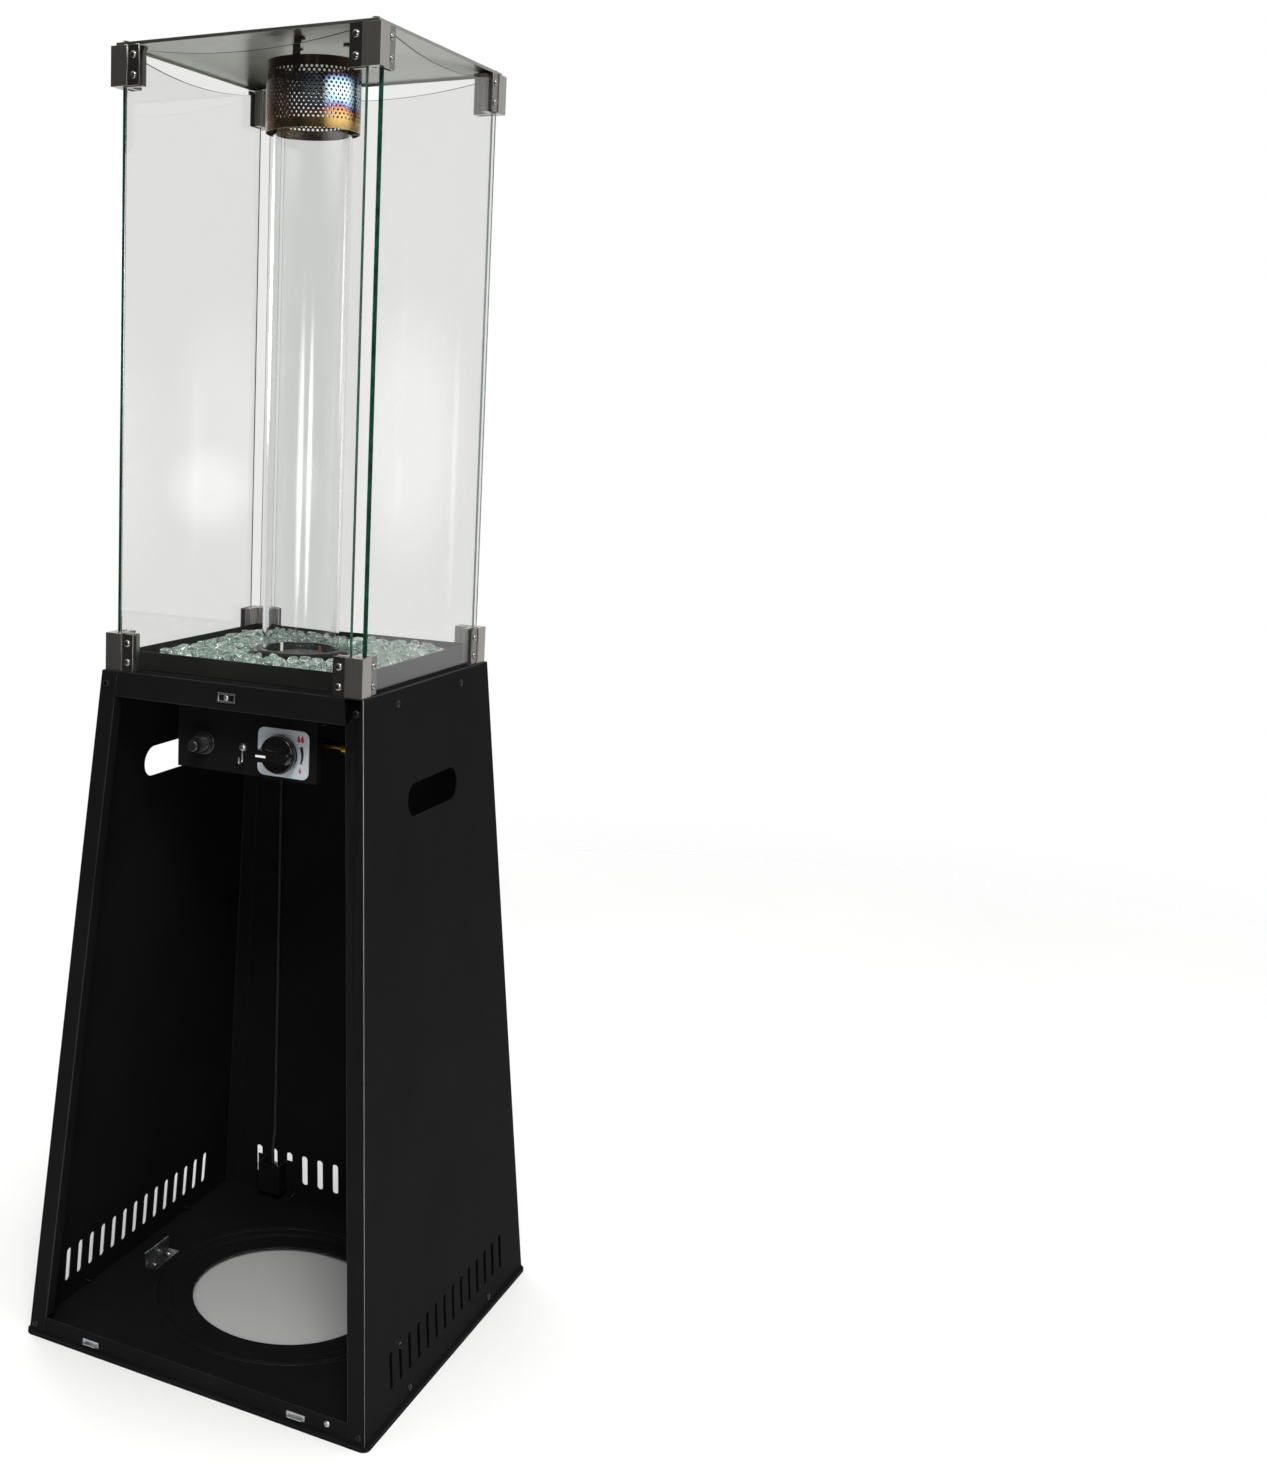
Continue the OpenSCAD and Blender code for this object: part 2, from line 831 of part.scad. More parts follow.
// a lower layer of flat pebbles, and an upper one whose pebbles lean and rest on two lower ones
module glass_pebbles() {
    inside = tray_w / 2 - sheet - set_gap;
    n = floor(2 * inside / pebble_pitch);
    for (layer = [0, 1], i = [0 : n - 1 - layer], j = [0 : n - 1]) {
        x = (i - (n - 1 - layer) / 2) * pebble_pitch;
        y = (j - (n - 1) / 2) * pebble_pitch;
        luck = rands(0, 1, 3, 7 + i * 31 + j * 17 + layer * 503);
        half_step = layer * pebble_pitch / 2;
        room = pebble_fits(x, y) && pebble_fits(x - half_step, y) && pebble_fits(x + half_step, y);
        d = pebble_d * (1 - (layer ? upper_vary : lower_vary) * luck[0]);
        t = pebble_t * (1 - depth_vary * layer * luck[1]);
        lean = layer * lean_most * (2 * luck[2] - 1);
        rise = layer * (pebble_t + seat_gap / 2) + pebble_foot(d, t) * sin(abs(lean)) + t / 2 * cos(lean);
        if (room && (layer == 0 || luck[1] > bare_share)) {
            color(clear_glass) translate([x, y, tray_floor + rise]) rotate([0, lean, 0])
                translate([0, 0, -t / 2]) pebble(d, t);
        }
    }
}

// the cup holds the flame tube; its skirt has air notches
module burner_cup() {
    bore = tube_d / 2 + tube_fit;
    ledge = tube_d / 2 - tube_wall - cup_ledge;
    color(black) difference() {
        translate([0, 0, tray_floor]) rotate_extrude() polygon([
            [ledge, 0],
            [cup_d / 2, 0],
            [cup_d / 2, cup_h - cup_bevel],
            [cup_d / 2 - cup_bevel, cup_h],
            [bore, cup_h],
            [bore, tube_lift - seat_gap],
            [ledge, tube_lift - seat_gap]
        ]);
        for (i = [0 : cup_notches - 1]) {
            rotate(i * 360 / cup_notches)
                translate([cup_d / 2 - cup_bevel, -notch_w / 2, tray_floor + notch_up])
                    cube([2 * cup_bevel, notch_w, notch_h]);
        }
    }
}

// the burner head stands in the cup, with rings of gas ports
module burner_head() {
    low = tray_floor + seat_gap;
    color(steel) difference() {
        union() {
            translate([0, 0, low]) cylinder(r = burner_r, h = burner_h);
            translate([0, 0, low + burner_h])
                cylinder(r1 = burner_r, r2 = burner_r - crown_in, h = crown_h);
        }
        for (ring = [1 : port_rings], i = [0 : 6 * ring - 1]) {
            rotate(i * 60 / ring)
                translate([ring * burner_r / (port_rings + 1), 0, tray_floor + burner_h - over])
                    cylinder(d = port_d, h = crown_h + mixer_in);
        }
        translate([0, 0, tray_floor]) cylinder(d = mixer_d + 2 * seam_gap, h = mixer_in);
        rod_spots() translate([0, 0, tray_floor]) cylinder(d = rod_hole_d, h = burner_h + 2 * crown_h);
    }
}

module flame_tube() {
    tube_h = collar_low + tube_overlap - tube_low;
    color(clear_glass) translate([0, 0, tube_low]) difference() {
        cylinder(d = tube_d, h = tube_h);
        translate([0, 0, -over]) cylinder(d = tube_d - 2 * tube_wall, h = tube_h + 2 * over);
    }
}

module tube_collar() {
    first_row = collar_low + (collar_h - (perf_rows - 1) * perf_pitch) / 2 + perf_lift;
    color(tinted) {
        difference() {
            translate([0, 0, collar_low]) cylinder(d = collar_d, h = collar_h);
            translate([0, 0, collar_low - over])
                cylinder(d = collar_d - 2 * collar_t, h = collar_h + 2 * over);
            for (row = [0 : perf_rows - 1], i = [0 : perf_columns - 1]) {
                rotate((i + (row % 2) / 2) * 360 / perf_columns)
                    translate([collar_d / 2 - 2 * collar_t, 0, first_row + row * perf_pitch])
                        rotate([0, 90, 0]) cylinder(d = perf_d, h = 3 * collar_t);
            }
        }
        for (turn = leg_turns) {
            rotate(turn) translate([tube_d / 2 + seat_gap, -tab_w / 2, collar_low])
                cube([collar_d / 2 - tube_d / 2 - seat_gap - collar_t / 2, tab_w, collar_t]);
        }
    }
}

module collar_legs() {
    foot_z = collar_top - leg_foot;
    roof_under = collar_top + collar_gap;
    color(tinted) {
        for (turn = leg_turns) {
            rotate(turn) {
                translate([leg_r, -leg_w / 2, foot_z]) cube([leg_t, leg_w, roof_under - foot_z]);
                translate([leg_r, -leg_w / 2, foot_z])
                    cube([collar_d / 2 - collar_t - leg_r - seat_gap, leg_w, leg_t]);
                translate([leg_r - leg_w, -leg_w / 2, roof_under - leg_t]) cube([leg_w, leg_w, leg_t]);
            }
        }
    }
}

// Roof

// a square pyramid with a flat top, on a straight edge: where two long prisms cross
module roof_block(w, edge, rise, flat) {
    intersection_for (turn = [0, 90]) {
        rotate([90, 0, turn]) linear_extrude(w, center = true) polygon([
            [-w / 2, 0],
            [w / 2, 0],
            [w / 2, edge],
            [flat / 2, edge + rise],
            [-flat / 2, edge + rise],
            [-w / 2, edge]
        ]);
    }
}

module roof_plate() {
    color(stainless) translate([0, 0, lantern_top]) difference() {
        union() {
            difference() {
                roof_block(roof_w, roof_edge, roof_rise, roof_flat);
                translate([0, 0, -roof_t])
                    roof_block(roof_w - 2 * roof_t, roof_edge, roof_rise, roof_flat - roof_t);
            }
            for (x = [-1, 1], y = [-1, 1]) {
                translate([x * (roof_w - roof_pad) / 2, y * (roof_w - roof_pad) / 2, roof_t / 2])
                    cube([roof_pad - roof_t, roof_pad - roof_t, roof_t], center = true);
            }
        }
        clamp_screw_spots(-over) cylinder(d = screw_hole_d, h = roof_edge + roof_rise + 2 * over);
    }
}

// the roof's screws go down into the clamps, with their heads on the slope
module roof_screws() {
    slope = roof_rise / ((roof_w - roof_flat) / 2);
    head_in = (roof_w - lantern_w) / 2 + clamp_screw_in + head_d / 2;
    seat = roof_edge + head_in * slope + head_clear;
    color(steel) clamp_screw_spots(lantern_top + seat)
        button_screw(head_d, head_h, shank_d, seat + clamp_screw_l);
}

// Lantern

module clamp_screw_spots(z) {
    spot = lantern_w / 2 - clamp_screw_in;
    for (x = [-1, 1], y = [-1, 1]) {
        translate([x * spot, y * spot, z]) children();
    }
}

// the four corners, each drawn with its outer corner at the origin and its legs along -X and -Y
module corners() {
    for (x = [0, 1], y = [0, 1]) {
        mirror([x, 0, 0]) mirror([0, y, 0])
            translate([lantern_w / 2, lantern_w / 2, 0])
                children();
    }
}

// both legs of a corner: children are drawn for the leg along -X
module both_legs() {
    children();
    mirror([1, -1, 0]) children();
}

module clamp_profile() {
    slot_w = glass_t + 2 * pad_t;
    difference() {
        union() {
            translate([-clamp_leg, -clamp_depth]) square([clamp_leg, clamp_depth]);
            translate([-clamp_depth, -clamp_leg]) square([clamp_depth, clamp_leg]);
        }
        both_legs() {
            translate([-clamp_leg - over, -glass_inset - glass_t - pad_t])
                square([clamp_leg + over - glass_end + slot_spare, slot_w]);
            translate([-clamp_leg - over, -jaw_step]) square([jaw_w + over, jaw_step + over]);
            for (i = [1 : grooves]) {
                translate([-clamp_leg + i * (clamp_leg - clamp_depth) / (grooves + 1), -clamp_depth])
                    circle(groove_r);
            }
        }
    }
}

module clamps(z) {
    color(alloy) corners() translate([0, 0, z]) difference() {
        linear_extrude(clamp_h) clamp_profile();
        translate([-clamp_screw_in, -clamp_screw_in, -over])
            cylinder(d = clamp_bore, h = clamp_h + 2 * over);
        both_legs() jaw_spots() translate([0, 0, -jaw_screw_l])
            cylinder(d = clamp_bore, h = jaw_screw_l + 2 * over);
    }
}

// the two screw places on the thin jaw of the leg along -X, facing out
module jaw_spots() {
    for (up = [1, 3]) {
        translate([-clamp_leg + jaw_w / 2, -jaw_step, up * clamp_h / 4]) rotate([-90, 0, 0]) children();
    }
}

module lower_clamps() {
    clamps(deck_z);
}

module upper_clamps() {
    clamps(lantern_top - clamp_h);
}

module clamp_screws() {
    color(steel) corners() {
        for (z = [deck_z, lantern_top - clamp_h]) {
            translate([0, 0, z]) both_legs() jaw_spots()
                button_screw(jaw_head_d, jaw_head_h, shank_d, jaw_screw_l);
        }
    }
}

module deck_screws() {
    color(steel) clamp_screw_spots(deck_z - sheet) mirror([0, 0, 1])
        button_screw(head_d, head_h, shank_d, sheet + clamp_screw_l);
}

// the pane in front, standing on its pads
module pane() {
    half_l = lantern_w / 2 - glass_end;
    low = deck_z + pad_foot;
    high = lantern_top - glass_top_gap;
    sag_r = (half_l * half_l + glass_sag * glass_sag) / (2 * glass_sag);
    color(clear_glass) translate([0, -lantern_w / 2 + glass_inset + glass_t, 0])
        rotate([90, 0, 0]) linear_extrude(glass_t) difference() {
            translate([-half_l, low]) square([2 * half_l, high - low]);
            translate([0, high + sag_r - glass_sag]) circle(sag_r, $fn = 180);
        }
}

module front_glass() {
    pane();
}

module right_glass() {
    rotate(90) pane();
}

module back_glass() {
    rotate(180) pane();
}

module left_glass() {
    rotate(270) pane();
}

module glass_pads() {
    pad_l = clamp_leg - glass_end - pad_short;
    color(rubber) corners() {
        both_legs() {
            for (z = [deck_z + pad_foot, lantern_top - clamp_h]) {
                for (y = [-glass_inset, -glass_inset - glass_t - pad_t]) {
                    translate([-clamp_leg, y, z])
                        cube([pad_l, pad_t, clamp_h - pad_foot - glass_top_gap]);
                }
            }
            translate([-clamp_leg, -glass_inset - glass_t - pad_t, deck_z])
                cube([pad_l, glass_t + 2 * pad_t, pad_foot]);
        }
    }
}

// Controls

// draws at a place on the control panel's front, with Z out to the front
module on_panel(x) {
    translate([x, -panel_y, control_z]) rotate([90, 0, 0]) children();
}

module control_panel() {
    color(black) difference() {
        translate([0, -panel_y + sheet, deck_z - sheet - panel_h]) union() {
            translate([-panel_w / 2, -sheet, 0]) cube([panel_w, sheet, panel_h]);
            translate([-panel_w / 2, -sheet, panel_h - sheet]) cube([panel_w, 2 * return_w, sheet]);
            translate([-panel_w / 2, -sheet, 0]) cube([panel_w, return_w, sheet]);
            for (x = [-panel_w / 2, panel_w / 2 - sheet]) {
                translate([x, -sheet, 0]) cube([sheet, return_w, panel_h]);
            }
        }
        on_panel(knob_x) translate([0, 0, -2 * sheet]) cylinder(d = stem_hole_d, h = 4 * sheet);
        on_panel(-igniter_x) translate([0, 0, -2 * sheet]) cylinder(d = barrel_hole_d, h = 4 * sheet);
        on_panel(hook_x) translate([0, 0, -2 * sheet]) cylinder(d = screw_hole_d, h = 4 * sheet);
    }
}

module bezel_plate() {
    color(white) on_panel(knob_x) linear_extrude(bezel_t) difference() {
        rounded_rectangle(bezel_w, bezel_h, bezel_r);
        circle(d = stem_hole_d);
    }
}

// the knob turns on the stem; its grip bar lies along X at rest, pointing left
module control_knob() {
    color(plastic) on_panel(knob_x) translate([0, 0, bezel_t + knob_gap]) difference() {
        union() {
            rotate_extrude() {
                square([knob_d / 2, knob_skirt - knob_round]);
                square([knob_d / 2 - knob_round, knob_skirt]);
                translate([knob_d / 2 - knob_round, knob_skirt - knob_round]) circle(knob_round);
            }
            intersection() {
                cylinder(d = knob_d - 2 * grip_in, h = knob_depth);
                linear_extrude(knob_depth) difference() {
                    square([knob_d, grip_w], center = true);
                    for (side = [-1, 1]) {
                        translate([0, side * (grip_w / 2 + knob_d - grip_waist)]) circle(knob_d, $fn = 96);
                    }
                }
            }
        }
        translate([0, 0, -over]) cylinder(d = knob_bore_d, h = over + stem_in);
        translate([
            -knob_d / 2 + pointer_in - touch_gap,
            -pointer_w / 2 - touch_gap,
            knob_depth - pointer_t
        ])
            cube([pointer_l + 2 * touch_gap, pointer_w + 2 * touch_gap, pointer_t + over]);
    }
}

module knob_pointer() {
    color("white") on_panel(knob_x)
        translate([-knob_d / 2 + pointer_in, -pointer_w / 2, bezel_t + knob_gap + knob_depth - pointer_t])
            cube([pointer_l, pointer_w, pointer_t]);
}

module valve_stem() {
    color(steel) on_panel(knob_x) translate([0, 0, -sheet - stem_back])
        cylinder(d = stem_d, h = sheet + stem_back + bezel_t + knob_gap + stem_in);
}

// rides on the stem just behind the knob and is pushed in with it
module stem_washer() {
    color(steel) on_panel(knob_x) translate([0, 0, bezel_t + knob_gap - washer_t - seat_gap]) difference() {
        cylinder(d = stem_d + 2 * washer_w, h = washer_t);
        translate([0, 0, -over]) cylinder(d = stem_d + 2 * run_gap, h = washer_t + 2 * over);
    }
}

module gas_valve() {
    color(brass) difference() {
        union() {
            on_panel(knob_x) translate([0, 0, -sheet - valve_depth]) {
                translate([-valve_w / 2, -valve_h / 2, 0])
                    cube([valve_w, valve_h, valve_depth - valve_neck_l]);
                cylinder(d = valve_neck_d, h = valve_depth);
            }
            translate([knob_x + valve_w / 2, inlet_y, inlet_z]) rotate([0, 90, 0])
                cylinder(d = inlet_boss_d, h = inlet_boss_l);
        }
        on_panel(knob_x) translate([0, 0, -sheet - stem_back - knob_push - over])
            cylinder(d = stem_d + 2 * run_gap, h = stem_back + knob_push + 2 * over);
    }
}

module gas_inlet() {
    start = knob_x + valve_w / 2 + inlet_boss_l;
    color(brass) translate([start, inlet_y, inlet_z]) rotate([0, 90, 0]) {
        cylinder(d = inlet_nut_d, h = inlet_nut_l, $fn = 6);
        cylinder(d = inlet_pipe_d, h = inlet_x - start);
        translate([0, 0, inlet_x - start]) cylinder(d = inlet_d, h = inlet_l);
    }
}

// from the back of the valve to the mixing tube under the burner
module gas_pipe() {
    color(brass) {
        translate([knob_x, valve_back, pipe_z]) rotate([-90, 0, 0])
            cylinder(d = pipe_d, h = -valve_back - pipe_bend);
        translate([knob_x - pipe_bend, -pipe_bend, pipe_z]) rotate_extrude(angle = 90)
            translate([pipe_bend, 0]) circle(d = pipe_d);
        translate([pipe_bend, 0, pipe_z]) rotate([0, 90, 0])
            cylinder(d = pipe_d, h = knob_x - 2 * pipe_bend);
        translate([pipe_bend, 0, pipe_z + pipe_bend]) rotate([90, 0, 180]) mirror([0, 1, 0])
            rotate_extrude(angle = 90) translate([pipe_bend, 0]) circle(d = pipe_d);
        translate([0, 0, pipe_z + pipe_bend]) cylinder(d = pipe_d, h = pipe_rise);
    }
}

// the injector's cup and the mixing tube, with air holes round its foot
module mixing_tube() {
    mixer_h = tray_floor + mixer_in - mixer_low;
    color(steel) difference() {
        union() {
            translate([0, 0, mixer_low]) cylinder(d = mixer_d, h = mixer_h);
            translate([0, 0, deck_z - sheet - mixer_flange_t])
                cylinder(d = mixer_hole_d + 2 * mixer_flange, h = mixer_flange_t);
        }
        translate([0, 0, mixer_low + mixer_floor]) cylinder(d = mixer_d - 2 * mixer_wall, h = mixer_h);
        for (turn = [45, 135]) {
            translate([0, 0, mixer_low + air_hole_up]) rotate([0, 90, turn])
                cylinder(d = air_hole_d, h = 2 * mixer_d, center = true);
        }
    }
}

// Ignition

// the two rods beside the mixing tube that reach up through the burner head
module rod_spots() {
    for (side = [-1, 1]) {
        translate([side * rod_r, 0, 0]) children();
    }
}

module thermocouple() {
    color(copper) {
        translate([rod_r, 0, deck_z - couple_low]) cylinder(d = rod_d, h = couple_low + rod_top);
        rod_run(couple_route, couple_tail_d);
    }
}

module ignition_electrode() {
    color(ceramic) translate([-rod_r, 0, deck_z - electrode_low]) {
        cylinder(d = rod_d, h = electrode_low + rod_top);
        cylinder(d = insulator_d, h = insulator_l);
    }
}

module igniter_lead() {
    color(rubber) rod_run(igniter_lead_route, igniter_lead_d);
}

// the barrel passes through the panel; its ribbed neck stands out in front of the nut
module igniter_body() {
    bore_low = neck_l - button_guide - button_push - button_spare;
    color(plastic) on_panel(-igniter_x) difference() {
        union() {
            translate([0, 0, -barrel_l]) cylinder(d = barrel_d, h = barrel_l + neck_l);
            translate([0, 0, -sheet - flange_t]) cylinder(d = nut_d, h = flange_t);
        }
        translate([0, 0, bore_low]) cylinder(d = button_d + 2 * run_gap, h = neck_l - bore_low + over);
        for (i = [1 : ribs]) {
            translate([0, 0, neck_l - i * rib_pitch]) rotate_extrude()
                translate([barrel_d / 2, 0]) circle(d = rib_groove);
        }
    }
}

module igniter_nut() {
    color(plastic) on_panel(-igniter_x) difference() {
        union() {
            cylinder(d = nut_d, h = nut_rim);
            cylinder(d = nut_d - nut_rim, h = nut_t, $fn = 12);
        }
        translate([0, 0, -over]) cylinder(d = barrel_hole_d, h = nut_t + 2 * over);
    }
}

// the button stands out of the neck by its travel and a little more
module igniter_button() {
    straight = button_guide + button_out - button_cap;
    color(plastic) on_panel(-igniter_x) translate([0, 0, neck_l - button_guide]) {
        cylinder(d = button_d, h = straight);
        translate([0, 0, straight]) cylinder(d1 = button_d, d2 = button_d - button_taper, h = button_cap);
    }
}

// a round plate with a wire that drops, turns forward and up again
module utility_hook() {
    color(steel) on_panel(hook_x) {
        difference() {
            cylinder(d = hook_plate_d, h = hook_plate_t);
            translate([0, 0, -over]) cylinder(d = screw_hole_d, h = hook_plate_t + 2 * over);
        }
        translate([0, -hook_hang, hook_plate_t / 2 + hook_wire / 2]) {
            rotate([90, 0, 0]) cylinder(d = hook_wire, h = hook_drop);
            translate([0, -hook_drop, hook_bend]) rotate([0, 90, 0]) rotate([0, 0, 180])
                rotate_extrude(angle = 180) translate([hook_bend, 0]) circle(d = hook_wire);
            translate([0, -hook_drop, 2 * hook_bend]) rotate([-90, 0, 0])
                cylinder(d = hook_wire, h = hook_tip);
        }
    }
}

module hook_screw() {
    color(steel) on_panel(hook_x) translate([0, 0, hook_plate_t])
        button_screw(hook_head_d, hook_head_h, shank_d, hook_screw_l);
}

base_plate();
left_side_panel();
right_side_panel();
back_panel();
front_crossbar();
front_sill();
top_deck();
panel_screws();
sill_screw();
door_clips();
door_catch();
door_catch_screw();
floor_brackets();
bracket_screws();
tip_switch();
tip_switch_guard();
tip_switch_lead();
fire_tray();
glass_pebbles();
burner_cup();
burner_head();
flame_tube();
tube_collar();
collar_legs();
roof_plate();
roof_screws();
front_glass();
right_glass();
back_glass();
left_glass();
glass_pads();
lower_clamps();
upper_clamps();
clamp_screws();
deck_screws();
control_panel();
bezel_plate();
control_knob();
knob_pointer();
valve_stem();
stem_washer();
gas_valve();
gas_inlet();
gas_pipe();
mixing_tube();
thermocouple();
ignition_electrode();
igniter_lead();
igniter_body();
igniter_nut();
igniter_button();
utility_hook();
hook_screw();
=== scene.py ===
"""Looks of a square patio heater with a glass lantern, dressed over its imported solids.

Metres, in the part's own frame: X to the right, Y to the back, Z up, with the floor at Z = 0.
"""

import math
import random

import bmesh
import bpy
from mathutils import Matrix, Vector, noise


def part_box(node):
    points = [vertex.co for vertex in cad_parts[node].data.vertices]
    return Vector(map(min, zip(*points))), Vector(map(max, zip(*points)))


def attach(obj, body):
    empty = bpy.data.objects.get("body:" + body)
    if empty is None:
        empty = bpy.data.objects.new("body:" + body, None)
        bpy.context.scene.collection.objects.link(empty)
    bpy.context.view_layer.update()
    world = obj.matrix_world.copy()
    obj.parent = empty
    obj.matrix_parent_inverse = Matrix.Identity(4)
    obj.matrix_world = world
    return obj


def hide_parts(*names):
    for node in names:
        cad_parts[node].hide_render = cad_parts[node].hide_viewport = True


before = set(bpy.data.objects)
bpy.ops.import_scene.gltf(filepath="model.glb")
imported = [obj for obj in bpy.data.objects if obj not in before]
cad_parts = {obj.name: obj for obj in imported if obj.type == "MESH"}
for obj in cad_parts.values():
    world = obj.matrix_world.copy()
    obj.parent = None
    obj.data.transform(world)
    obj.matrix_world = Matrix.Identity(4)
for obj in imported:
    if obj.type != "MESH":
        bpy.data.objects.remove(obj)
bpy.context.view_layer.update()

MM = 0.001

# The camera of the photograph, found from the object's own corners
PHOTO_W, PHOTO_H = 1267, 1474
FOCAL_PX = 1693.4
AXIS_PX = (294.1, 622.3)
CAMERA_PLACE = Vector((0.8926, -1.6210, 1.0404))
CAMERA_YAW, CAMERA_PITCH, CAMERA_ROLL = 0.508, -0.1319, 0.0235
SENSOR_MM = 36.0


def make_camera():
    """The camera, with its shift and roll, worked out for a frame of the photograph's size."""
    data = bpy.data.cameras.new("photo_view")
    data.sensor_width = SENSOR_MM
    data.lens = FOCAL_PX * SENSOR_MM / PHOTO_H
    data.shift_x = (PHOTO_W / 2 - AXIS_PX[0]) / PHOTO_H
    data.shift_y = (AXIS_PX[1] - PHOTO_H / 2) / PHOTO_H
    level = Vector((math.cos(CAMERA_YAW), math.sin(CAMERA_YAW), 0))
    ahead = Vector((
        -math.sin(CAMERA_YAW) * math.cos(CAMERA_PITCH),
        math.cos(CAMERA_YAW) * math.cos(CAMERA_PITCH),
        math.sin(CAMERA_PITCH),
    ))
    upright = level.cross(ahead)
    right = level * math.cos(CAMERA_ROLL) + upright * math.sin(CAMERA_ROLL)
    up = upright * math.cos(CAMERA_ROLL) - level * math.sin(CAMERA_ROLL)
    camera = bpy.data.objects.new("photo_view", data)
    turn = Matrix((right, up, -ahead)).transposed().to_4x4()
    camera.matrix_world = Matrix.Translation(CAMERA_PLACE) @ turn
    bpy.context.scene.collection.objects.link(camera)
    bpy.context.scene.camera = camera


# Materials


def linear(hex_code):
    """An sRGB hex colour as linear RGBA."""
    parts = [int(hex_code[i:i + 2], 16) / 255 for i in (1, 3, 5)]
    return [p / 12.92 if p <= 0.04045 else ((p + 0.055) / 1.055) ** 2.4 for p in parts] + [1.0]


def per_mm(size):
    """The texture scale whose features are about size millimetres wide."""
    return 1 / (size * MM)


def add(tree, kind, sockets=None, stops=None, **settings):
    """Adds a shader node. Sockets are values or links, by name or number; stops are a ramp's colours."""
    made = tree.nodes.new("ShaderNode" + kind)
    for name, value in settings.items():
        setattr(made, name, value)
    for name, value in (sockets or {}).items():
        if isinstance(value, bpy.types.NodeSocket):
            tree.links.new(value, made.inputs[name])
        else:
            made.inputs[name].default_value = value
    for i, (spot, colour) in enumerate(stops or []):
        ramp = made.color_ramp.elements
        stop = ramp[i] if i < 2 else ramp.new(spot)
        stop.position = spot
        stop.color = linear(colour)
    return made


def powder(tree, place, deep, light, rough, shine):
    """Black powder: cloudy colour and gloss, and the orange peel of the baked coat, drawn at 2.4 mm."""
    peel = add(tree, "TexNoise", {"Vector": place, "Scale": per_mm(2.4), "Detail": 2.0})
    cloud = add(tree, "TexNoise", {"Vector": place, "Scale": per_mm(120), "Detail": 4.0})
    colour = add(tree, "ValToRGB", {"Fac": cloud.outputs["Fac"]}, [(0.35, deep), (0.65, light)])
    uneven = 0.03
    gloss = add(tree, "MapRange", {
        "Value": cloud.outputs["Fac"],
        "To Min": rough - uneven,
        "To Max": rough + uneven,
    })
    bump = add(tree, "Bump", {"Height": peel.outputs["Fac"], "Strength": 0.3, "Distance": 0.05 * MM})
    return add(tree, "BsdfPrincipled", {
        "Base Color": colour.outputs["Color"],
        "Roughness": gloss.outputs["Result"],
        "Specular IOR Level": shine,
        "Normal": bump.outputs["Normal"],
    })


def powder_coated_steel(tree, place):
    """Polyester powder baked on folded sheet: a deep satin black."""
    return powder(tree, place, "#161617", "#19191a", 0.46, 0.004)


def powder_edge_with_painted_highlight(tree, place):
    """The same powder over a cut edge, where it draws back in the oven, painted lighter as well: a faint grey
    line that is partly a painted highlight.
    """
    return powder(tree, place, "#1d1d1e", "#2a2a2b", 0.34, 0.12)


def painted_fold_highlight(tree, place):
    """The same powder over the cabinet's two front corners, painted pale and glossier: a painted highlight
    line.
    """
    return powder(tree, place, "#77777a", "#98989a", 0.28, 0.5)


def enamelled_steel(tree, place):
    """Heat-proof black enamel on the tray and burner: a little glossier, with a grey bloom from the heat."""
    return powder(tree, place, "#10110f", "#191a18", 0.34, 0.12)


def extruded_aluminium(tree, place):
    """Extruded, blasted and anodised aluminium: pale satin grey with faint die lines along the length."""
    stretch = add(tree, "Mapping", {"Vector": place, "Scale": (1.0, 1.0, 0.02)})
    lines = add(tree, "TexNoise", {
        "Vector": stretch.outputs["Vector"],
        "Scale": per_mm(0.9),
        "Detail": 3.0,
    })
    colour = add(tree, "ValToRGB", {"Fac": lines.outputs["Fac"]}, [(0.3, "#aaa6a1"), (0.7, "#b4b0ab")])
    rough = add(tree, "MapRange", {"Value": lines.outputs["Fac"], "To Min": 0.29, "To Max": 0.33})
    bump = add(tree, "Bump", {"Height": lines.outputs["Fac"], "Strength": 0.05, "Distance": 0.005 * MM})
    return add(tree, "BsdfPrincipled", {
        "Base Color": colour.outputs["Color"],
        "Metallic": 1.0,
        "Roughness": rough.outputs["Result"],
        "Normal": bump.outputs["Normal"],
    })


def milled_aluminium(tree, place):
    """The jaws of the clamps, milled after extrusion: a brighter cut that mirrors light and dark."""
    cuts = add(tree, "TexWave", {
        "Vector": place,
        "Scale": per_mm(6.0),
        "Distortion": 1.5,
        "Detail": 2.0,
    }, bands_direction="Z")
    rough = add(tree, "MapRange", {"Value": cuts.outputs["Fac"], "To Min": 0.17, "To Max": 0.21})
    return add(tree, "BsdfPrincipled", {
        "Base Color": linear("#8d8a86"),
        "Metallic": 1.0,
        "Roughness": rough.outputs["Result"],
    })


def zinc_plated_steel(tree, place):
    """Pressed steel with bright zinc: cool grey with cloudy, slightly blue patches."""
    patch = add(tree, "TexNoise", {"Vector": place, "Scale": per_mm(5.0), "Detail": 4.0})
    colour = add(tree, "ValToRGB", {"Fac": patch.outputs["Fac"]}, [(0.35, "#a3a8ae"), (0.65, "#c9c8c2")])
    rough = add(tree, "MapRange", {"Value": patch.outputs["Fac"], "To Min": 0.2, "To Max": 0.4})
    return add(tree, "BsdfPrincipled", {
        "Base Color": colour.outputs["Color"],
        "Metallic": 1.0,
        "Roughness": rough.outputs["Result"],
    })


def stainless_screw_steel(tree, place):
    """Cold-headed stainless screws, tumbled bright: sharp small highlights."""
    scuff = add(tree, "TexNoise", {"Vector": place, "Scale": per_mm(1.5), "Detail": 3.0})
    rough = add(tree, "MapRange", {"Value": scuff.outputs["Fac"], "To Min": 0.1, "To Max": 0.22})
    return add(tree, "BsdfPrincipled", {
        "Base Color": linear("#95938f"),
        "Metallic": 1.0,
        "Roughness": rough.outputs["Result"],
    })


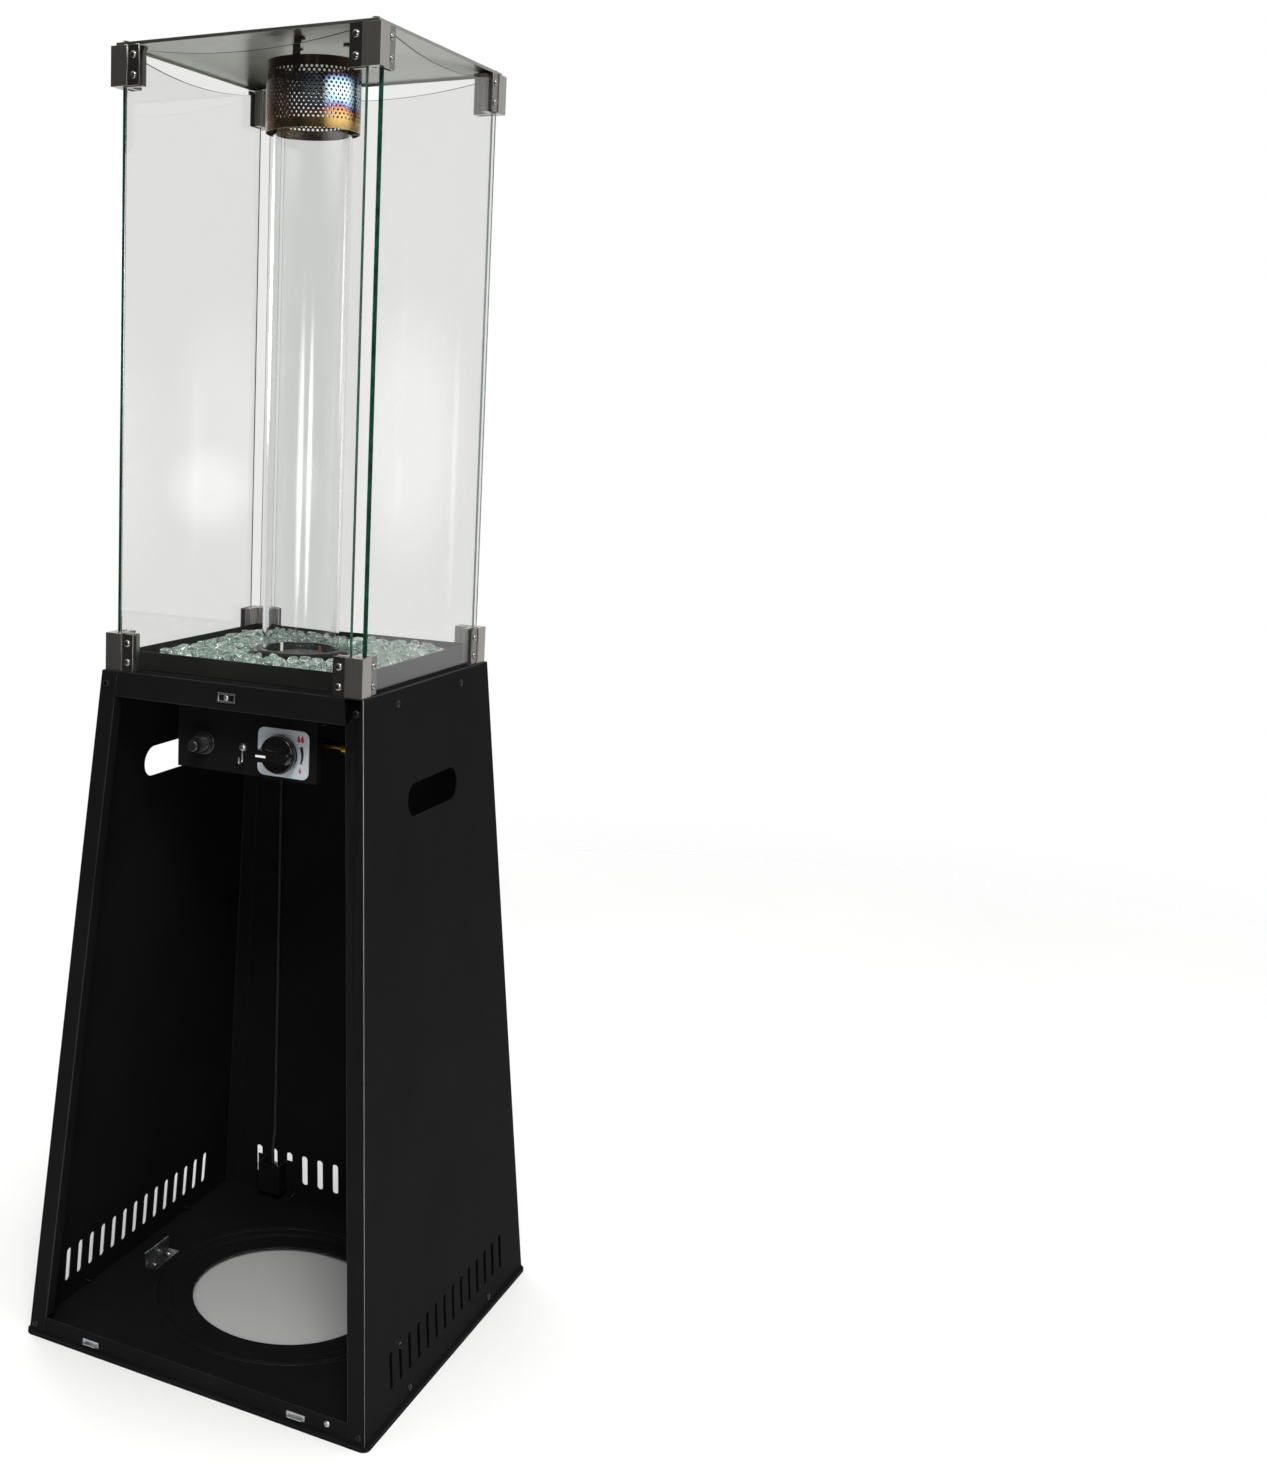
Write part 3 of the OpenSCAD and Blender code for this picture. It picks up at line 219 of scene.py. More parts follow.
def black_oxide_steel(tree, place):
    """Black panel screws, dipped hot: near black with a dull metal shine."""
    scuff = add(tree, "TexNoise", {"Vector": place, "Scale": per_mm(2.0), "Detail": 3.0})
    rough = add(tree, "MapRange", {"Value": scuff.outputs["Fac"], "To Min": 0.2, "To Max": 0.38})
    return add(tree, "BsdfPrincipled", {
        "Base Color": linear("#0e0e0f"),
        "Roughness": rough.outputs["Result"],
        "Specular IOR Level": 0.2,
    })


def rolled_stainless(tree, place):
    """Stainless sheet as rolled, on the roof: grey-green, with fine streaks along the rolling."""
    stretch = add(tree, "Mapping", {"Vector": place, "Scale": (0.03, 1.0, 1.0)})
    streak = add(tree, "TexNoise", {
        "Vector": stretch.outputs["Vector"],
        "Scale": per_mm(1.6),
        "Detail": 4.0,
    })
    colour = add(tree, "ValToRGB", {"Fac": streak.outputs["Fac"]}, [(0.3, "#989b93"), (0.7, "#aeb0a8")])
    rough = add(tree, "MapRange", {"Value": streak.outputs["Fac"], "To Min": 0.24, "To Max": 0.36})
    return add(tree, "BsdfPrincipled", {
        "Base Color": colour.outputs["Color"],
        "Metallic": 1.0,
        "Roughness": rough.outputs["Result"],
    })


# The side of the collar where the lamps reflect, painted blue and pale partly as heat tint and partly as a
# painted reflection, and where round the collar its blue begins and is full
GLINT_SIDE = (0.863, -0.505, 0.0)
BLUE_BEGINS, BLUE_FULL = 0.6, 0.93


def heat_tinted_stainless(tree, place):
    """Perforated stainless that the flame has coloured: straw below, brown above, and blue and pale towards
    the lamps' reflection, partly heat tint and partly a painted reflection.
    """
    low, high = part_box("tube_collar")
    split = add(tree, "SeparateXYZ", {"Vector": place})
    drift = add(tree, "TexNoise", {"Vector": place, "Scale": per_mm(38), "Detail": 3.0})
    height = add(tree, "MapRange", {"Value": split.outputs["Z"], "From Min": low.z, "From Max": high.z})
    wander = add(tree, "MapRange", {"Value": drift.outputs["Fac"], "To Min": -0.09, "To Max": 0.09})
    level = add(tree, "Math", {0: height.outputs["Result"], 1: wander.outputs["Result"]}, operation="ADD")
    colour = add(tree, "ValToRGB", {"Fac": level.outputs["Value"]}, [
        (0.0, "#8f7a4c"),
        (1.0, "#4a3322"),
        (0.16, "#cba467"),
        (0.25, "#b97d52"),
        (0.3, "#7c5f96"),
        (0.36, "#9cc0e0"),
        (0.52, "#d2ecf3"),
        (0.68, "#93b3d2"),
        (0.76, "#4a4560"),
        (0.82, "#412c24"),
    ])
    tint_away_from_glint = add(tree, "ValToRGB", {"Fac": level.outputs["Value"]}, [
        (0.0, "#6d5c3c"),
        (1.0, "#4a3322"),
        (0.16, "#7e6543"),
        (0.3, "#6b5341"),
        (0.5, "#6f6058"),
        (0.76, "#4a3a30"),
        (0.82, "#412c24"),
    ])
    # Blue and pale only on the side where the lamps reflect, a painted reflection over the heat tint; brown
    # elsewhere.
    side = add(tree, "VectorMath", {0: place, 1: GLINT_SIDE}, operation="DOT_PRODUCT")
    toward_glint = add(tree, "MapRange", {
        "Value": side.outputs["Value"],
        "From Min": BLUE_BEGINS * high.x,
        "From Max": BLUE_FULL * high.x,
    }, interpolation_type="SMOOTHSTEP")
    tint = add(tree, "MixRGB", {
        "Fac": toward_glint.outputs["Result"],
        "Color1": tint_away_from_glint.outputs["Color"],
        "Color2": colour.outputs["Color"],
    })
    rough = add(tree, "MapRange", {"Value": drift.outputs["Fac"], "To Min": 0.09, "To Max": 0.15})
    return add(tree, "BsdfPrincipled", {
        "Base Color": tint.outputs["Color"],
        "Metallic": 1.0,
        "Roughness": rough.outputs["Result"],
    })


def scaled_steel(tree, place):
    """Steel that has been red hot often: dark brown scale with rusty patches."""
    patch = add(tree, "TexNoise", {"Vector": place, "Scale": per_mm(9.0), "Detail": 5.0})
    colour = add(tree, "ValToRGB", {"Fac": patch.outputs["Fac"]}, [(0.35, "#1c1613"), (0.7, "#38291f")])
    bump = add(tree, "Bump", {"Height": patch.outputs["Fac"], "Strength": 0.3, "Distance": 0.05 * MM})
    return add(tree, "BsdfPrincipled", {
        "Base Color": colour.outputs["Color"],
        "Metallic": 0.6,
        "Roughness": 0.5,
        "Normal": bump.outputs["Normal"],
    })


def let_light_through(tree, body, tint):
    """Lets lamps through a glass body, so that what stands behind it is lit."""
    path = add(tree, "LightPath")
    clear = add(tree, "BsdfTransparent", {"Color": linear(tint)})
    return add(tree, "MixShader", {
        0: path.outputs["Is Shadow Ray"],
        1: body.outputs["BSDF"],
        2: clear.outputs["BSDF"],
    })


def clear_glass(tree, tint, ior):
    """Fire-polished glass, as drawn or floated."""
    body = add(tree, "BsdfPrincipled", {
        "Base Color": linear(tint),
        "Roughness": 0.0,
        "IOR": ior,
        "Transmission Weight": 1.0,
    })
    return let_light_through(tree, body, tint)


def float_glass(tree, place):
    """Toughened float glass: clear, almost colourless through its face, with sharp reflections."""
    return clear_glass(tree, "#fafaf9", 1.5)


def float_glass_edge(tree, place):
    """The seamed edge of float glass: bottle green from outside, clear where the sheet itself is in front."""
    depth = add(tree, "TexNoise", {"Vector": place, "Scale": per_mm(14), "Detail": 2.0})
    colour = add(tree, "ValToRGB", {"Fac": depth.outputs["Fac"]}, [(0.3, "#12382c"), (0.7, "#255a48")])
    deep = add(tree, "BsdfPrincipled", {
        "Base Color": colour.outputs["Color"],
        "Roughness": 0.16,
        "IOR": 1.5,
        "Specular IOR Level": 0.15,
        "Transmission Weight": 0.35,
    })
    clear = add(tree, "BsdfPrincipled", {
        "Base Color": linear("#e6ebe8"),
        "Roughness": 0.05,
        "IOR": 1.5,
        "Transmission Weight": 1.0,
    })
    return add(tree, "MixShader", {
        0: add(tree, "NewGeometry").outputs["Backfacing"],
        1: deep.outputs["BSDF"],
        2: clear.outputs["BSDF"],
    })


def ground_glass_edge(tree, place):
    """The curved top edge of a pane, ground to shape: a dull grey-green line."""
    grit = add(tree, "TexNoise", {"Vector": place, "Scale": per_mm(1.0), "Detail": 2.0})
    colour = add(tree, "ValToRGB", {"Fac": grit.outputs["Fac"]}, [(0.3, "#3c4240"), (0.7, "#565d5a")])
    return add(tree, "BsdfPrincipled", {
        "Base Color": colour.outputs["Color"],
        "Roughness": 0.6,
        "Specular IOR Level": 0.1,
    })


def borosilicate_glass(tree, place):
    """Drawn borosilicate tube: almost colourless, darker only where it is seen along its wall."""
    return clear_glass(tree, "#fbfcfc", 1.47)


def tumbled_glass(tree, place):
    """Pebbles of recycled glass, tumbled smooth: sea green depth under a faint frost."""
    tint = add(tree, "TexNoise", {"Vector": place, "Scale": per_mm(26), "Detail": 2.0})
    colour = add(tree, "ValToRGB", {"Fac": tint.outputs["Fac"]}, [(0.3, "#c2d6cc"), (0.7, "#ecf4f0")])
    frost = add(tree, "TexNoise", {"Vector": place, "Scale": per_mm(4.0), "Detail": 3.0})
    rough = add(tree, "MapRange", {"Value": frost.outputs["Fac"], "To Min": 0.01, "To Max": 0.08})
    body = add(tree, "BsdfPrincipled", {
        "Base Color": colour.outputs["Color"],
        "Roughness": rough.outputs["Result"],
        "IOR": 1.5,
        "Transmission Weight": 0.94,
    })
    return let_light_through(tree, body, "#bcd0c7")


def moulded_plastic(tree, place):
    """Black moulded nylon of the knob and igniter: a fine spark-eroded grain, drawn at 0.6 mm."""
    grain = add(tree, "TexNoise", {"Vector": place, "Scale": per_mm(0.6), "Detail": 3.0})
    rough = add(tree, "MapRange", {"Value": grain.outputs["Fac"], "To Min": 0.09, "To Max": 0.17})
    bump = add(tree, "Bump", {"Height": grain.outputs["Fac"], "Strength": 0.25, "Distance": 0.03 * MM})
    return add(tree, "BsdfPrincipled", {
        "Base Color": linear("#101011"),
        "Roughness": rough.outputs["Result"],
        "Normal": bump.outputs["Normal"],
    })


def polished_phenolic(tree, place):
    """The igniter's compression-moulded phenolic: charcoal with a half-polished, lamp-catching skin."""
    swirl = add(tree, "TexNoise", {"Vector": place, "Scale": per_mm(3.0), "Detail": 2.0})
    rough = add(tree, "MapRange", {"Value": swirl.outputs["Fac"], "To Min": 0.16, "To Max": 0.28})
    return add(tree, "BsdfPrincipled", {
        "Base Color": linear("#1d1d1e"),
        "Roughness": rough.outputs["Result"],
        "IOR": 1.6,
        "Coat Weight": 0.5,
        "Coat Roughness": 0.08,
    })


def printed_plate(tree, place):
    """The bezel's satin lacquered aluminium: pale blue-grey with a fine brush."""
    stretch = add(tree, "Mapping", {"Vector": place, "Scale": (0.04, 1.0, 1.0)})
    brush = add(tree, "TexNoise", {"Vector": stretch.outputs["Vector"], "Scale": per_mm(0.8)})
    colour = add(tree, "ValToRGB", {"Fac": brush.outputs["Fac"]}, [(0.3, "#c3ced6"), (0.7, "#d7dfe4")])
    return add(tree, "BsdfPrincipled", {
        "Base Color": colour.outputs["Color"],
        "Metallic": 0.2,
        "Roughness": 0.34,
    })


def ink(tree, place, deep, light):
    """Screen ink: an even film with a slight mottle from the mesh, drawn at 1 mm."""
    mottle = add(tree, "TexNoise", {"Vector": place, "Scale": per_mm(1.0), "Detail": 2.0})
    colour = add(tree, "ValToRGB", {"Fac": mottle.outputs["Fac"]}, [(0.3, deep), (0.7, light)])
    return add(tree, "BsdfPrincipled", {"Base Color": colour.outputs["Color"], "Roughness": 0.45})


def white_ink(tree, place):
    """White pad print in the knob's pointer."""
    return ink(tree, place, "#e6e6e2", "#f6f6f3")


def red_ink(tree, place):
    """Red screen print of the flame marks."""
    return ink(tree, place, "#a3202a", "#c22d35")


def black_ink(tree, place):
    """Black screen print of the setting arc."""
    return ink(tree, place, "#121214", "#1d1d20")


def turned_brass(tree, place):
    """Turned brass of the valve and its pipes: warm, with fine tool lines and a little tarnish."""
    tarnish = add(tree, "TexNoise", {"Vector": place, "Scale": per_mm(12), "Detail": 4.0})
    lines = add(tree, "TexWave", {
        "Vector": place,
        "Scale": per_mm(7.0),
        "Distortion": 0.4,
    }, bands_direction="X")
    colour = add(tree, "ValToRGB", {"Fac": tarnish.outputs["Fac"]}, [(0.35, "#77592a"), (0.7, "#a5813f")])
    rough = add(tree, "MapRange", {"Value": lines.outputs["Fac"], "To Min": 0.18, "To Max": 0.34})
    return add(tree, "BsdfPrincipled", {
        "Base Color": colour.outputs["Color"],
        "Metallic": 1.0,
        "Roughness": rough.outputs["Result"],
    })


def drawn_copper(tree, place):
    """The thermocouple's drawn copper tube: salmon, browned in patches."""
    patch = add(tree, "TexNoise", {"Vector": place, "Scale": per_mm(8.0), "Detail": 4.0})
    colour = add(tree, "ValToRGB", {"Fac": patch.outputs["Fac"]}, [(0.3, "#8a5236"), (0.7, "#c98a66")])
    return add(tree, "BsdfPrincipled", {
        "Base Color": colour.outputs["Color"],
        "Metallic": 1.0,
        "Roughness": 0.32,
    })


def fired_ceramic(tree, place):
    """The electrode's fired steatite: off-white, dull, with grey specks."""
    speck = add(tree, "TexNoise", {"Vector": place, "Scale": per_mm(1.2), "Detail": 4.0})
    colour = add(tree, "ValToRGB", {"Fac": speck.outputs["Fac"]}, [(0.3, "#cfcabd"), (0.6, "#e8e4d9")])
    return add(tree, "BsdfPrincipled", {"Base Color": colour.outputs["Color"], "Roughness": 0.5})


def moulded_rubber(tree, place):
    """Silicone rubber of the pads and leads: soft dull black with dust in it."""
    dust = add(tree, "TexNoise", {"Vector": place, "Scale": per_mm(3.0), "Detail": 4.0})
    colour = add(tree, "ValToRGB", {"Fac": dust.outputs["Fac"]}, [(0.3, "#141414"), (0.75, "#2c2c2b")])
    return add(tree, "BsdfPrincipled", {"Base Color": colour.outputs["Color"], "Roughness": 0.7})


def studio_paper(tree, place):
    """The pale paper of the studio floor: the faintest mottle, a painted shade under the heater, gone at its
    rim.
    """
    mottle = add(tree, "TexNoise", {"Vector": place, "Scale": per_mm(700), "Detail": 2.0})
    colour = add(tree, "ValToRGB", {"Fac": mottle.outputs["Fac"]}, [(0.3, "#f3f3f2"), (0.7, "#f7f7f6")])
    inward = add(tree, "VectorMath", {0: place}, operation="LENGTH")
    # Painted shade: the paper greys towards the axis, under the heater.
    shade = add(tree, "MapRange", {
        "Value": inward.outputs["Value"],
        "From Min": SHADE_INSIDE,
        "From Max": SHADE_RIM,
        "To Min": SHADE_TONE,
        "To Max": 1.0,
    })
    tone = add(tree, "VectorMath", {
        0: colour.outputs["Color"],
        "Scale": shade.outputs["Result"],
    }, operation="SCALE")
    paper = add(tree, "BsdfPrincipled", {
        "Base Color": tone.outputs["Vector"],
        "Roughness": 0.9,
        "Specular IOR Level": 0.1,
    })
    outward = add(tree, "VectorMath", {0: place, 1: FLOOR_MIDDLE}, operation="DISTANCE")
    gone = add(tree, "MapRange", {
        "Value": outward.outputs["Value"],
        "From Min": FLOOR_WHOLE * FLOOR_RADIUS,
        "From Max": FLOOR_GONE * FLOOR_RADIUS,
    }, interpolation_type="SMOOTHSTEP")
    return add(tree, "MixShader", {
        0: gone.outputs["Result"],
        1: paper.outputs["BSDF"],
        2: add(tree, "BsdfTransparent").outputs["BSDF"],
    })


def glowing_panel(tree, place):
    """A studio panel that glows on its front, softly towards its rim, and lets everything else through."""
    away = add(tree, "VectorMath", {0: place}, operation="LENGTH")
    glow = glow_at(tree, away.outputs["Value"], PANEL_GLOW)
    path = add(tree, "LightPath")
    looked_at = add(tree, "Math", {0: path.outputs["Is Camera Ray"], 1: seen_through_glass(tree)})
    dark = add(tree, "Math", {
        0: looked_at.outputs["Value"],
        1: add(tree, "NewGeometry").outputs["Backfacing"],
    }, operation="MAXIMUM")
    lit = add(tree, "Math", {0: 1.0, 1: dark.outputs["Value"]}, operation="SUBTRACT")
    strength = add(tree, "Math", {0: glow, 1: lit.outputs["Value"]}, operation="MULTIPLY")
    return add(tree, "AddShader", {
        0: add(tree, "Emission", {"Strength": strength.outputs["Value"]}).outputs["Emission"],
        1: add(tree, "BsdfTransparent").outputs["BSDF"],
    })


made_finishes = {}


def finish(build):
    """The material that a finish function describes, made once and named after it."""
    if build not in made_finishes:
        made = bpy.data.materials.new(build.__name__)
        made.use_nodes = True
        tree = made.node_tree
        tree.nodes.clear()
        place = add(tree, "TexCoord").outputs["Object"]
        shader = build(tree, place)
        add(tree, "OutputMaterial", {"Surface": shader.outputs[0]})
        made_finishes[build] = made
    return made_finishes[build]


# Shapes

SMOOTH_BELOW = math.radians(34)
SHARP_FROM = math.radians(40)
FLAT_WITHIN = math.radians(0.6)
LEAST_FOLD = 60
FOLD_BREADTH = 6 * MM
FOLD_STEPS, EDGE_STEPS = 4, 2


def make_piece(name, work, builds, stands_for=(), body="heater"):
    """Turns a bmesh into a piece that rides on a body, with its finishes and what it stands for."""
    data = bpy.data.meshes.new(name)
    bmesh.ops.recalc_face_normals(work, faces=work.faces)
    work.to_mesh(data)
    work.free()
    data.polygons.foreach_set("use_smooth", [True] * len(data.polygons))
    data.set_sharp_from_angle(angle=SMOOTH_BELOW)
    for build in builds:
        data.materials.append(finish(build))
    piece = bpy.data.objects.new(name, data)
    bpy.context.scene.collection.objects.link(piece)
    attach(piece, body)
    if stands_for:
        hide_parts(*stands_for)
    return piece


def lathe(work, profile, segments, place=None, closed=False):
    """Turns (radius, height) points round Z. A radius may be a function of the angle."""
    place = place or Matrix()
    rings = []
    for radius, height in profile:
        if radius == 0:
            rings.append([work.verts.new(place @ Vector((0, 0, height)))] * segments)
            continue
        ring = []
        for i in range(segments):
            angle = 2 * math.pi * i / segments
            r = radius(angle) if callable(radius) else radius
            ring.append(work.verts.new(place @ Vector((r * math.cos(angle), r * math.sin(angle), height))))
        rings.append(ring)
    pairs = list(zip(rings, rings[1:] + rings[:1])) if closed else list(zip(rings, rings[1:]))
    for low, high in pairs:
        for i in range(segments):
            j = (i + 1) % segments
            corners = list(dict.fromkeys((low[i], low[j], high[j], high[i])))
            if len(corners) > 2:
                work.faces.new(corners)


def copy_of(node):
    """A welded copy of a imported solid's mesh, with its flat faces made whole."""
    work = bmesh.new()
    work.from_mesh(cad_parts[node].data)
    bmesh.ops.remove_doubles(work, verts=work.verts, dist=0.001 * MM)
    bmesh.ops.dissolve_limit(work, angle_limit=FLAT_WITHIN, verts=work.verts, edges=work.edges)
    return work


def sharp_edges(work, shortest, folds_only=False):
    """Sharp edges that are long enough; with folds_only, those between two broad faces."""
    found = []
    for edge in work.edges:
        length = edge.calc_length()
        if len(edge.link_faces) != 2 or length < shortest * MM:
            continue
        if edge.calc_face_angle() < SHARP_FROM:
            continue
        if folds_only and min(face.calc_area() for face in edge.link_faces) < FOLD_BREADTH * length:
            continue
        found.append(edge)
    return found


def outer_corners(edges):
    """Of some edges, those whose two faces both look away from the cabinet's upright axis."""
    clearly = 0.3
    found = []
    for edge in edges:
        outward = edge.verts[0].co + edge.verts[1].co
        outward.z = 0
        if all(face.normal.dot(outward.normalized()) > clearly for face in edge.link_faces):
            found.append(edge)
    return found


def dress(node, builds, edge=0.25, fold=0.0, shortest=3.0, body="heater"):
    """A copy of a solid with its folds rounded and its cut edges broken, shown in its place.

    The finishes are those of its faces, then its edges, then its outer corners. Radii and the length
    of the shortest edge to break are in millimetres.
    """
    work = copy_of(node)
    on_edges = min(1, len(builds) - 1)

    def round_off(edges, radius, segments, index):
        bmesh.ops.bevel(work, geom=edges, offset=radius * MM, segments=segments, affect="EDGES",
                        profile=0.5, material=index)

    if fold:
        corners = outer_corners(sharp_edges(work, LEAST_FOLD, folds_only=True))
        round_off(corners, fold, FOLD_STEPS, len(builds) - 1)
        round_off(sharp_edges(work, LEAST_FOLD, folds_only=True), min(fold, 1.0), FOLD_STEPS, on_edges)
    if edge:
        round_off(sharp_edges(work, shortest), edge, EDGE_STEPS, on_edges)
    piece = make_piece(node + "_dressed", work, builds, [node], body)
    piece.modifiers.new("even_shading", "WEIGHTED_NORMAL").keep_sharp = True
    return piece


def paint(node, build):
    """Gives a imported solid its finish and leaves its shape."""
    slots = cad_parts[node].data.materials
    slots.clear()
    slots.append(finish(build))


# Cabinet

# The radius of each sheet's folds, in millimetres
SHEET_PIECES = {
    "base_plate": 1.2,
    "left_side_panel": 1.8,
    "right_side_panel": 1.8,
    "back_panel": 0.0,
    "front_crossbar": 1.0,
    "front_sill": 1.0,
    "top_deck": 1.2,
    "tip_switch_guard": 1.0,
}


def dress_cabinet():
    # Cut edges get a lighter powder that is partly a painted highlight.
    powders = [powder_coated_steel, powder_edge_with_painted_highlight]
    for node, fold in SHEET_PIECES.items():
        # Side panels get the painted highlight along their outer fold corners.
        corners = [painted_fold_highlight] if "side_panel" in node else []
        dress(node, powders + corners, edge=0.3, fold=fold, shortest=6.0)
    dress("control_panel", [powder_coated_steel], edge=0.3, fold=1.2, shortest=6.0)
    # The tray's cut edges also carry the partly painted edge highlight.
    dress("fire_tray", [enamelled_steel, powder_edge_with_painted_highlight], edge=0.3, shortest=6.0)
    dress("burner_cup", [enamelled_steel], edge=0.3)
    paint("burner_head", scaled_steel)
    for node in ("door_clips", "floor_brackets", "utility_hook"):
        dress(node, [zinc_plated_steel], shortest=1.5)
    dress("door_catch", [black_oxide_steel, zinc_plated_steel], edge=0.3, shortest=1.5)


# Screws


def islands(work):
    """The separate bodies of a mesh, each as a list of faces."""
    seen = set()
    for first in work.faces:
        if first in seen:
            continue
        seen.add(first)
        group = [first]
        for face in group:
            for edge in face.edges:
                for other in edge.link_faces:
                    if other not in seen:
                        seen.add(other)
                        group.append(other)
        yield group


def screw_seats(node):
    """For each screw of a node: the middle of its head's flat underside, its axis, radius and length."""
    work = copy_of(node)
    for group in islands(work):
        areas = {}
        for face in group:
            facing = tuple(round(c, 2) for c in face.normal)
            areas[facing] = areas.get(facing, 0) + face.calc_area()
        axis = -Vector(max(areas, key=areas.get)).normalized()
        under = [f for f in group if f.normal.dot(axis) < -0.999]
        level = max(f.calc_center_median().dot(axis) for f in under)
        rim = {v for f in under for v in f.verts if abs(v.co.dot(axis) - level) < 0.01 * MM}
        middle = sum((v.co for v in rim), Vector()) / len(rim)
        radius = max((v.co - middle).length for v in rim)
        tip = min(v.co.dot(axis) for f in group for v in f.verts)
        yield middle, axis, radius, level - tip
    work.free()


def hexagon(across):
    """The radius of a hexagon at an angle, for a socket that is this wide across its flats."""
    return lambda angle: across / 2 / math.cos((angle % (math.pi / 3)) - math.pi / 6)


def cross(arm, waist):
    """The radius of a cross recess at an angle."""
    return lambda angle: arm if math.cos(4 * angle) > 0.55 else waist


def screw_profile(radius, length, recess, height):
    """A button head with a recess, a rounded rim and a threaded shank, from the recess's floor down."""
    shank, root, point = 0.5 * radius, 0.43 * radius, 0.35 * radius
    pitch = 0.8 * MM
    floor, mouth = 0.25 * height, 0.97 * height
    points = [(0, floor), (recess(0.92), floor), (recess(1.0), mouth)]
    steps = 6
    for i in range(steps):
        angle = math.radians(14 + 76 * i / steps)
        points.append((radius * math.sin(angle), height * math.cos(angle) ** 0.8))
    points += [(radius, 0.06 * height), (0.97 * radius, 0), (shank, 0)]
    for i in range(int(length / pitch)):
        points += [(shank, -i * pitch), (root, -(i + 0.5) * pitch)]
    return points + [(point, -length), (0, -length)]


def socket_recess(radius):
    """A hexagon socket to suit a head of this radius, as a function of its share of the full width."""
    return lambda share: hexagon(0.9 * radius * share)


def cross_recess(radius):
    """The same for a cross recess."""
    return lambda share: cross(0.62 * radius * share, 0.24 * radius * share)


# Heights of the heads, as shares of their radius
HEAD_HEIGHT, FLUSH_HEIGHT = 0.55, 0.12
# The finish, recess, slot and head height of each kind of screw
SCREWS = {
    "panel_screws": (black_oxide_steel, socket_recess, "black_powder_coat", HEAD_HEIGHT),
    "clamp_screws": (stainless_screw_steel, socket_recess, "stainless_steel", HEAD_HEIGHT),
    "roof_screws": (stainless_screw_steel, socket_recess, "stainless_steel", FLUSH_HEIGHT),
    "deck_screws": (stainless_screw_steel, socket_recess, "stainless_steel", HEAD_HEIGHT),
    "bracket_screws": (zinc_plated_steel, cross_recess, "zinc_plated_steel", HEAD_HEIGHT),
    "sill_screw": (zinc_plated_steel, cross_recess, "zinc_plated_steel", HEAD_HEIGHT),
    "door_catch_screw": (zinc_plated_steel, socket_recess, "zinc_plated_steel", HEAD_HEIGHT),
    "hook_screw": (zinc_plated_steel, cross_recess, "zinc_plated_steel", HEAD_HEIGHT),
}


def make_screws():
    """Every screw, on its packed seat and turned by chance."""
    draw = random.Random(5)
    for node, (build, recess, slot, height) in SCREWS.items():
        work = bmesh.new()
        for middle, axis, radius, length in screw_seats(node):
            turn = Matrix.Rotation(draw.uniform(0, math.tau), 4, "Z")
            place = Matrix.Translation(middle) @ axis.to_track_quat("Z", "Y").to_matrix().to_4x4() @ turn
            profile = screw_profile(radius, length, recess(radius), height * radius)
            lathe(work, profile, segments=24, place=place)
        make_piece(node + "_cut", work, [build], [node])


# Lantern

PANE_SAG = 14 * MM
PANE_SEAM = 0.7 * MM
PANE_STEPS = 48
# Each pane's turn about the upright axis, in degrees
PANES = {"front_glass": 0, "right_glass": 90, "back_glass": 180, "left_glass": 270}


def make_panes():
    """The four panes: their top edge sags in an arc, and their rim is seamed."""
    low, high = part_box("front_glass")
    half = high.x
    bow = (half * half + PANE_SAG * PANE_SAG) / (2 * PANE_SAG)
    finishes = [float_glass, float_glass_edge, ground_glass_edge]
    outline = [(-half, low.z), (half, low.z)]
    for i in range(PANE_STEPS + 1):
        x = half - 2 * half * i / PANE_STEPS
        outline.append((x, high.z - PANE_SAG + bow - math.sqrt(bow * bow - x * x)))
    for node, turn in PANES.items():
        work = bmesh.new()
        front = [work.verts.new((x, low.y, z)) for x, z in outline]
        back = [work.verts.new((x, high.y, z)) for x, z in outline]
        broad = [work.faces.new(front), work.faces.new(back)]
        for i in range(len(outline)):
            j = (i + 1) % len(outline)
            work.faces.new((front[i], front[j], back[j], back[i]))
        rim = [e for e in work.edges if any(f in broad for f in e.link_faces)]
        bmesh.ops.bevel(work, geom=rim, offset=PANE_SEAM, segments=1, affect="EDGES")
        for face in work.faces:
            middle = face.calc_center_median()
            if high.z - PANE_SAG - MM < middle.z:
                face.material_index = finishes.index(ground_glass_edge)
            elif abs(middle.x) > half - MM:
                face.material_index = finishes.index(float_glass_edge)
        work.transform(Matrix.Rotation(math.radians(turn), 4, "Z"))
        make_piece(node + "_pane", work, finishes, [node])


JAW_STEP = 1.2 * MM


def dress_clamps():
    """The clamps, with the milled jaws told from the extruded faces by their step, and the roof."""
    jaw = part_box("lower_clamps")[1].x - JAW_STEP
    finishes = [extruded_aluminium, milled_aluminium]
    for node in ("lower_clamps", "upper_clamps"):
        piece = dress(node, finishes, edge=0.35, shortest=4.0)
        for part in piece.data.polygons:
            reach = max(abs(part.center.x), abs(part.center.y))
            flat = max(abs(part.normal.x), abs(part.normal.y)) > 0.99
            if flat and abs(reach - jaw) < 0.05 * MM:
                part.material_index = finishes.index(milled_aluminium)
    paint("glass_pads", moulded_rubber)
    dress("roof_plate", [rolled_stainless], edge=0.3, shortest=6.0)


# Fire

TUBE_WALL = 3.5 * MM
TUBE_LIP = 1.2 * MM


